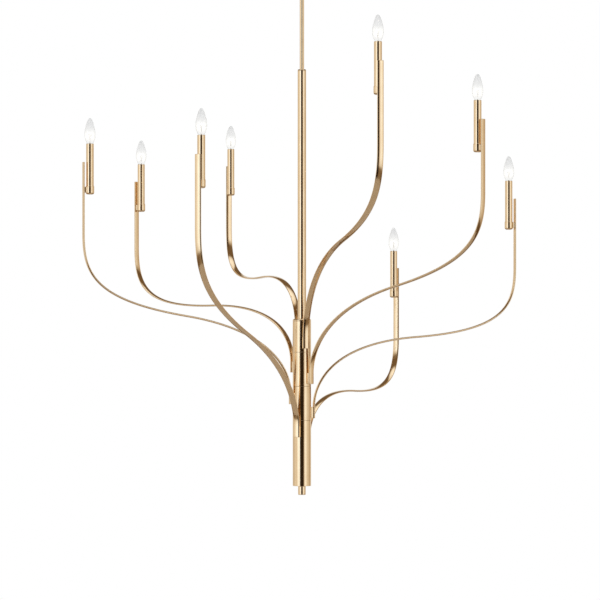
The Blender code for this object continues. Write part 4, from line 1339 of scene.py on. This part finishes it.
def make_floor():
    profile = [(0.0, 0.0), (FLOOR_RADIUS - FLOOR_EDGE, 0.0), (FLOOR_RADIUS, -FLOOR_EDGE),
               (FLOOR_RADIUS, -2 * FLOOR_EDGE), (0.0, -2 * FLOOR_EDGE)]
    floor = new_piece("floor", turned_mesh("floor", profile, FLOOR_SIDES, closed=False))
    floor.location.z = cad_low.z - FLOOR_DROP
    floor.data.materials.append(floor_finish())


def set_ramp(ramp, stops):
    """Give a colour ramp its stops, as (position, colour)."""
    elements = ramp.color_ramp.elements
    while len(elements) > 1:
        elements.remove(elements[-1])
    elements[0].position = stops[0][0]
    elements[0].color = (*stops[0][1], 1.0)
    for position, colour in stops[1:]:
        elements.new(position).color = (*colour, 1.0)


def light_colour(level):
    """Bright panels are a little cool, middling light is neutral, and the dark gaps are warm."""
    if level < NEUTRAL_LEVEL:
        share, low, high = level / NEUTRAL_LEVEL, WARM_TINT, NEUTRAL_TINT
    else:
        share, low, high = min(1.0, (level - NEUTRAL_LEVEL) / COOL_RISE), NEUTRAL_TINT, COOL_TINT
    return tuple(level / LIGHT_SCALE * (a + (b - a) * share) for a, b in zip(low, high))


def make_world():
    """Soft light all round, with a dark gap behind the camera that darkens the middle of each tube.

    The camera, and what shows through the glass, see plain white.
    """
    world = bpy.data.worlds.new("studio")
    bpy.context.scene.world = world
    world.use_nodes = True
    tree = world.node_tree
    tree.nodes.clear()
    graph = Graph(tree)
    direction = tree.nodes.new("ShaderNodeTexCoord").outputs["Generated"]
    parts = graph.node("ShaderNodeSeparateXYZ", Vector=direction).outputs
    turn = graph.math("ARCTAN2", parts[0], graph.math("MULTIPLY", parts[1], -1.0))
    ramp = graph.node("ShaderNodeValToRGB", Fac=graph.remap(turn, -math.pi, math.pi))
    set_ramp(ramp, [((degrees + 180) / 360, light_colour(level)) for degrees, level in LIGHT_LEVELS])
    tilt = graph.node("ShaderNodeValToRGB", Fac=graph.remap(parts[2], -1.0, 1.0))
    set_ramp(tilt, [((height + 1) / 2, (level ** WARM_POWER, level, level ** COOL_POWER))
                    for height, level in TILT_LEVELS])
    overhead = graph.remap(parts[2], *OVERHEAD_SPAN, smooth=True)
    around = graph.blend(overhead, ramp.outputs[0], light_colour(OVERHEAD_LEVEL))
    walls = graph.node("ShaderNodeVectorMath", "MULTIPLY").inputs
    graph.feed(walls[0], around)
    graph.feed(walls[1], tilt.outputs[0])
    colour = walls[0].node.outputs[0]
    studio = graph.node("ShaderNodeBackground", Color=colour, Strength=LIGHT_SCALE).outputs[0]
    plain = graph.node("ShaderNodeBackground", Color=WHITE, Strength=1.0).outputs[0]
    path = tree.nodes.new("ShaderNodeLightPath").outputs
    seen = graph.math("MAXIMUM", path["Is Camera Ray"], path["Is Transmission Ray"])
    mixed = tree.nodes.new("ShaderNodeMixShader")
    graph.feed(mixed.inputs[0], seen)
    graph.feed(mixed.inputs[1], studio)
    graph.feed(mixed.inputs[2], plain)
    output = tree.nodes.new("ShaderNodeOutputWorld")
    graph.feed(output.inputs[0], mixed.outputs[0])
    bpy.context.scene.view_settings.view_transform = "Standard"


def main():
    make_camera()
    make_world()
    make_floor()
    make_canopy()
    make_canopy_ring()
    make_canopy_screws()
    make_mounting_bar()
    make_nipple_and_nut()
    make_stem()
    make_coupler()
    make_core_pipe()
    make_hub_ends()
    for number in range(1, 5):
        make_collar(number)
    for index in range(1, len(BENDS) + 1):
        make_arm(index)
        make_cup(index)
        make_candle_tube(index)
        make_socket(index)
        make_bulb(index, list(bulb_parts(index)))


main()
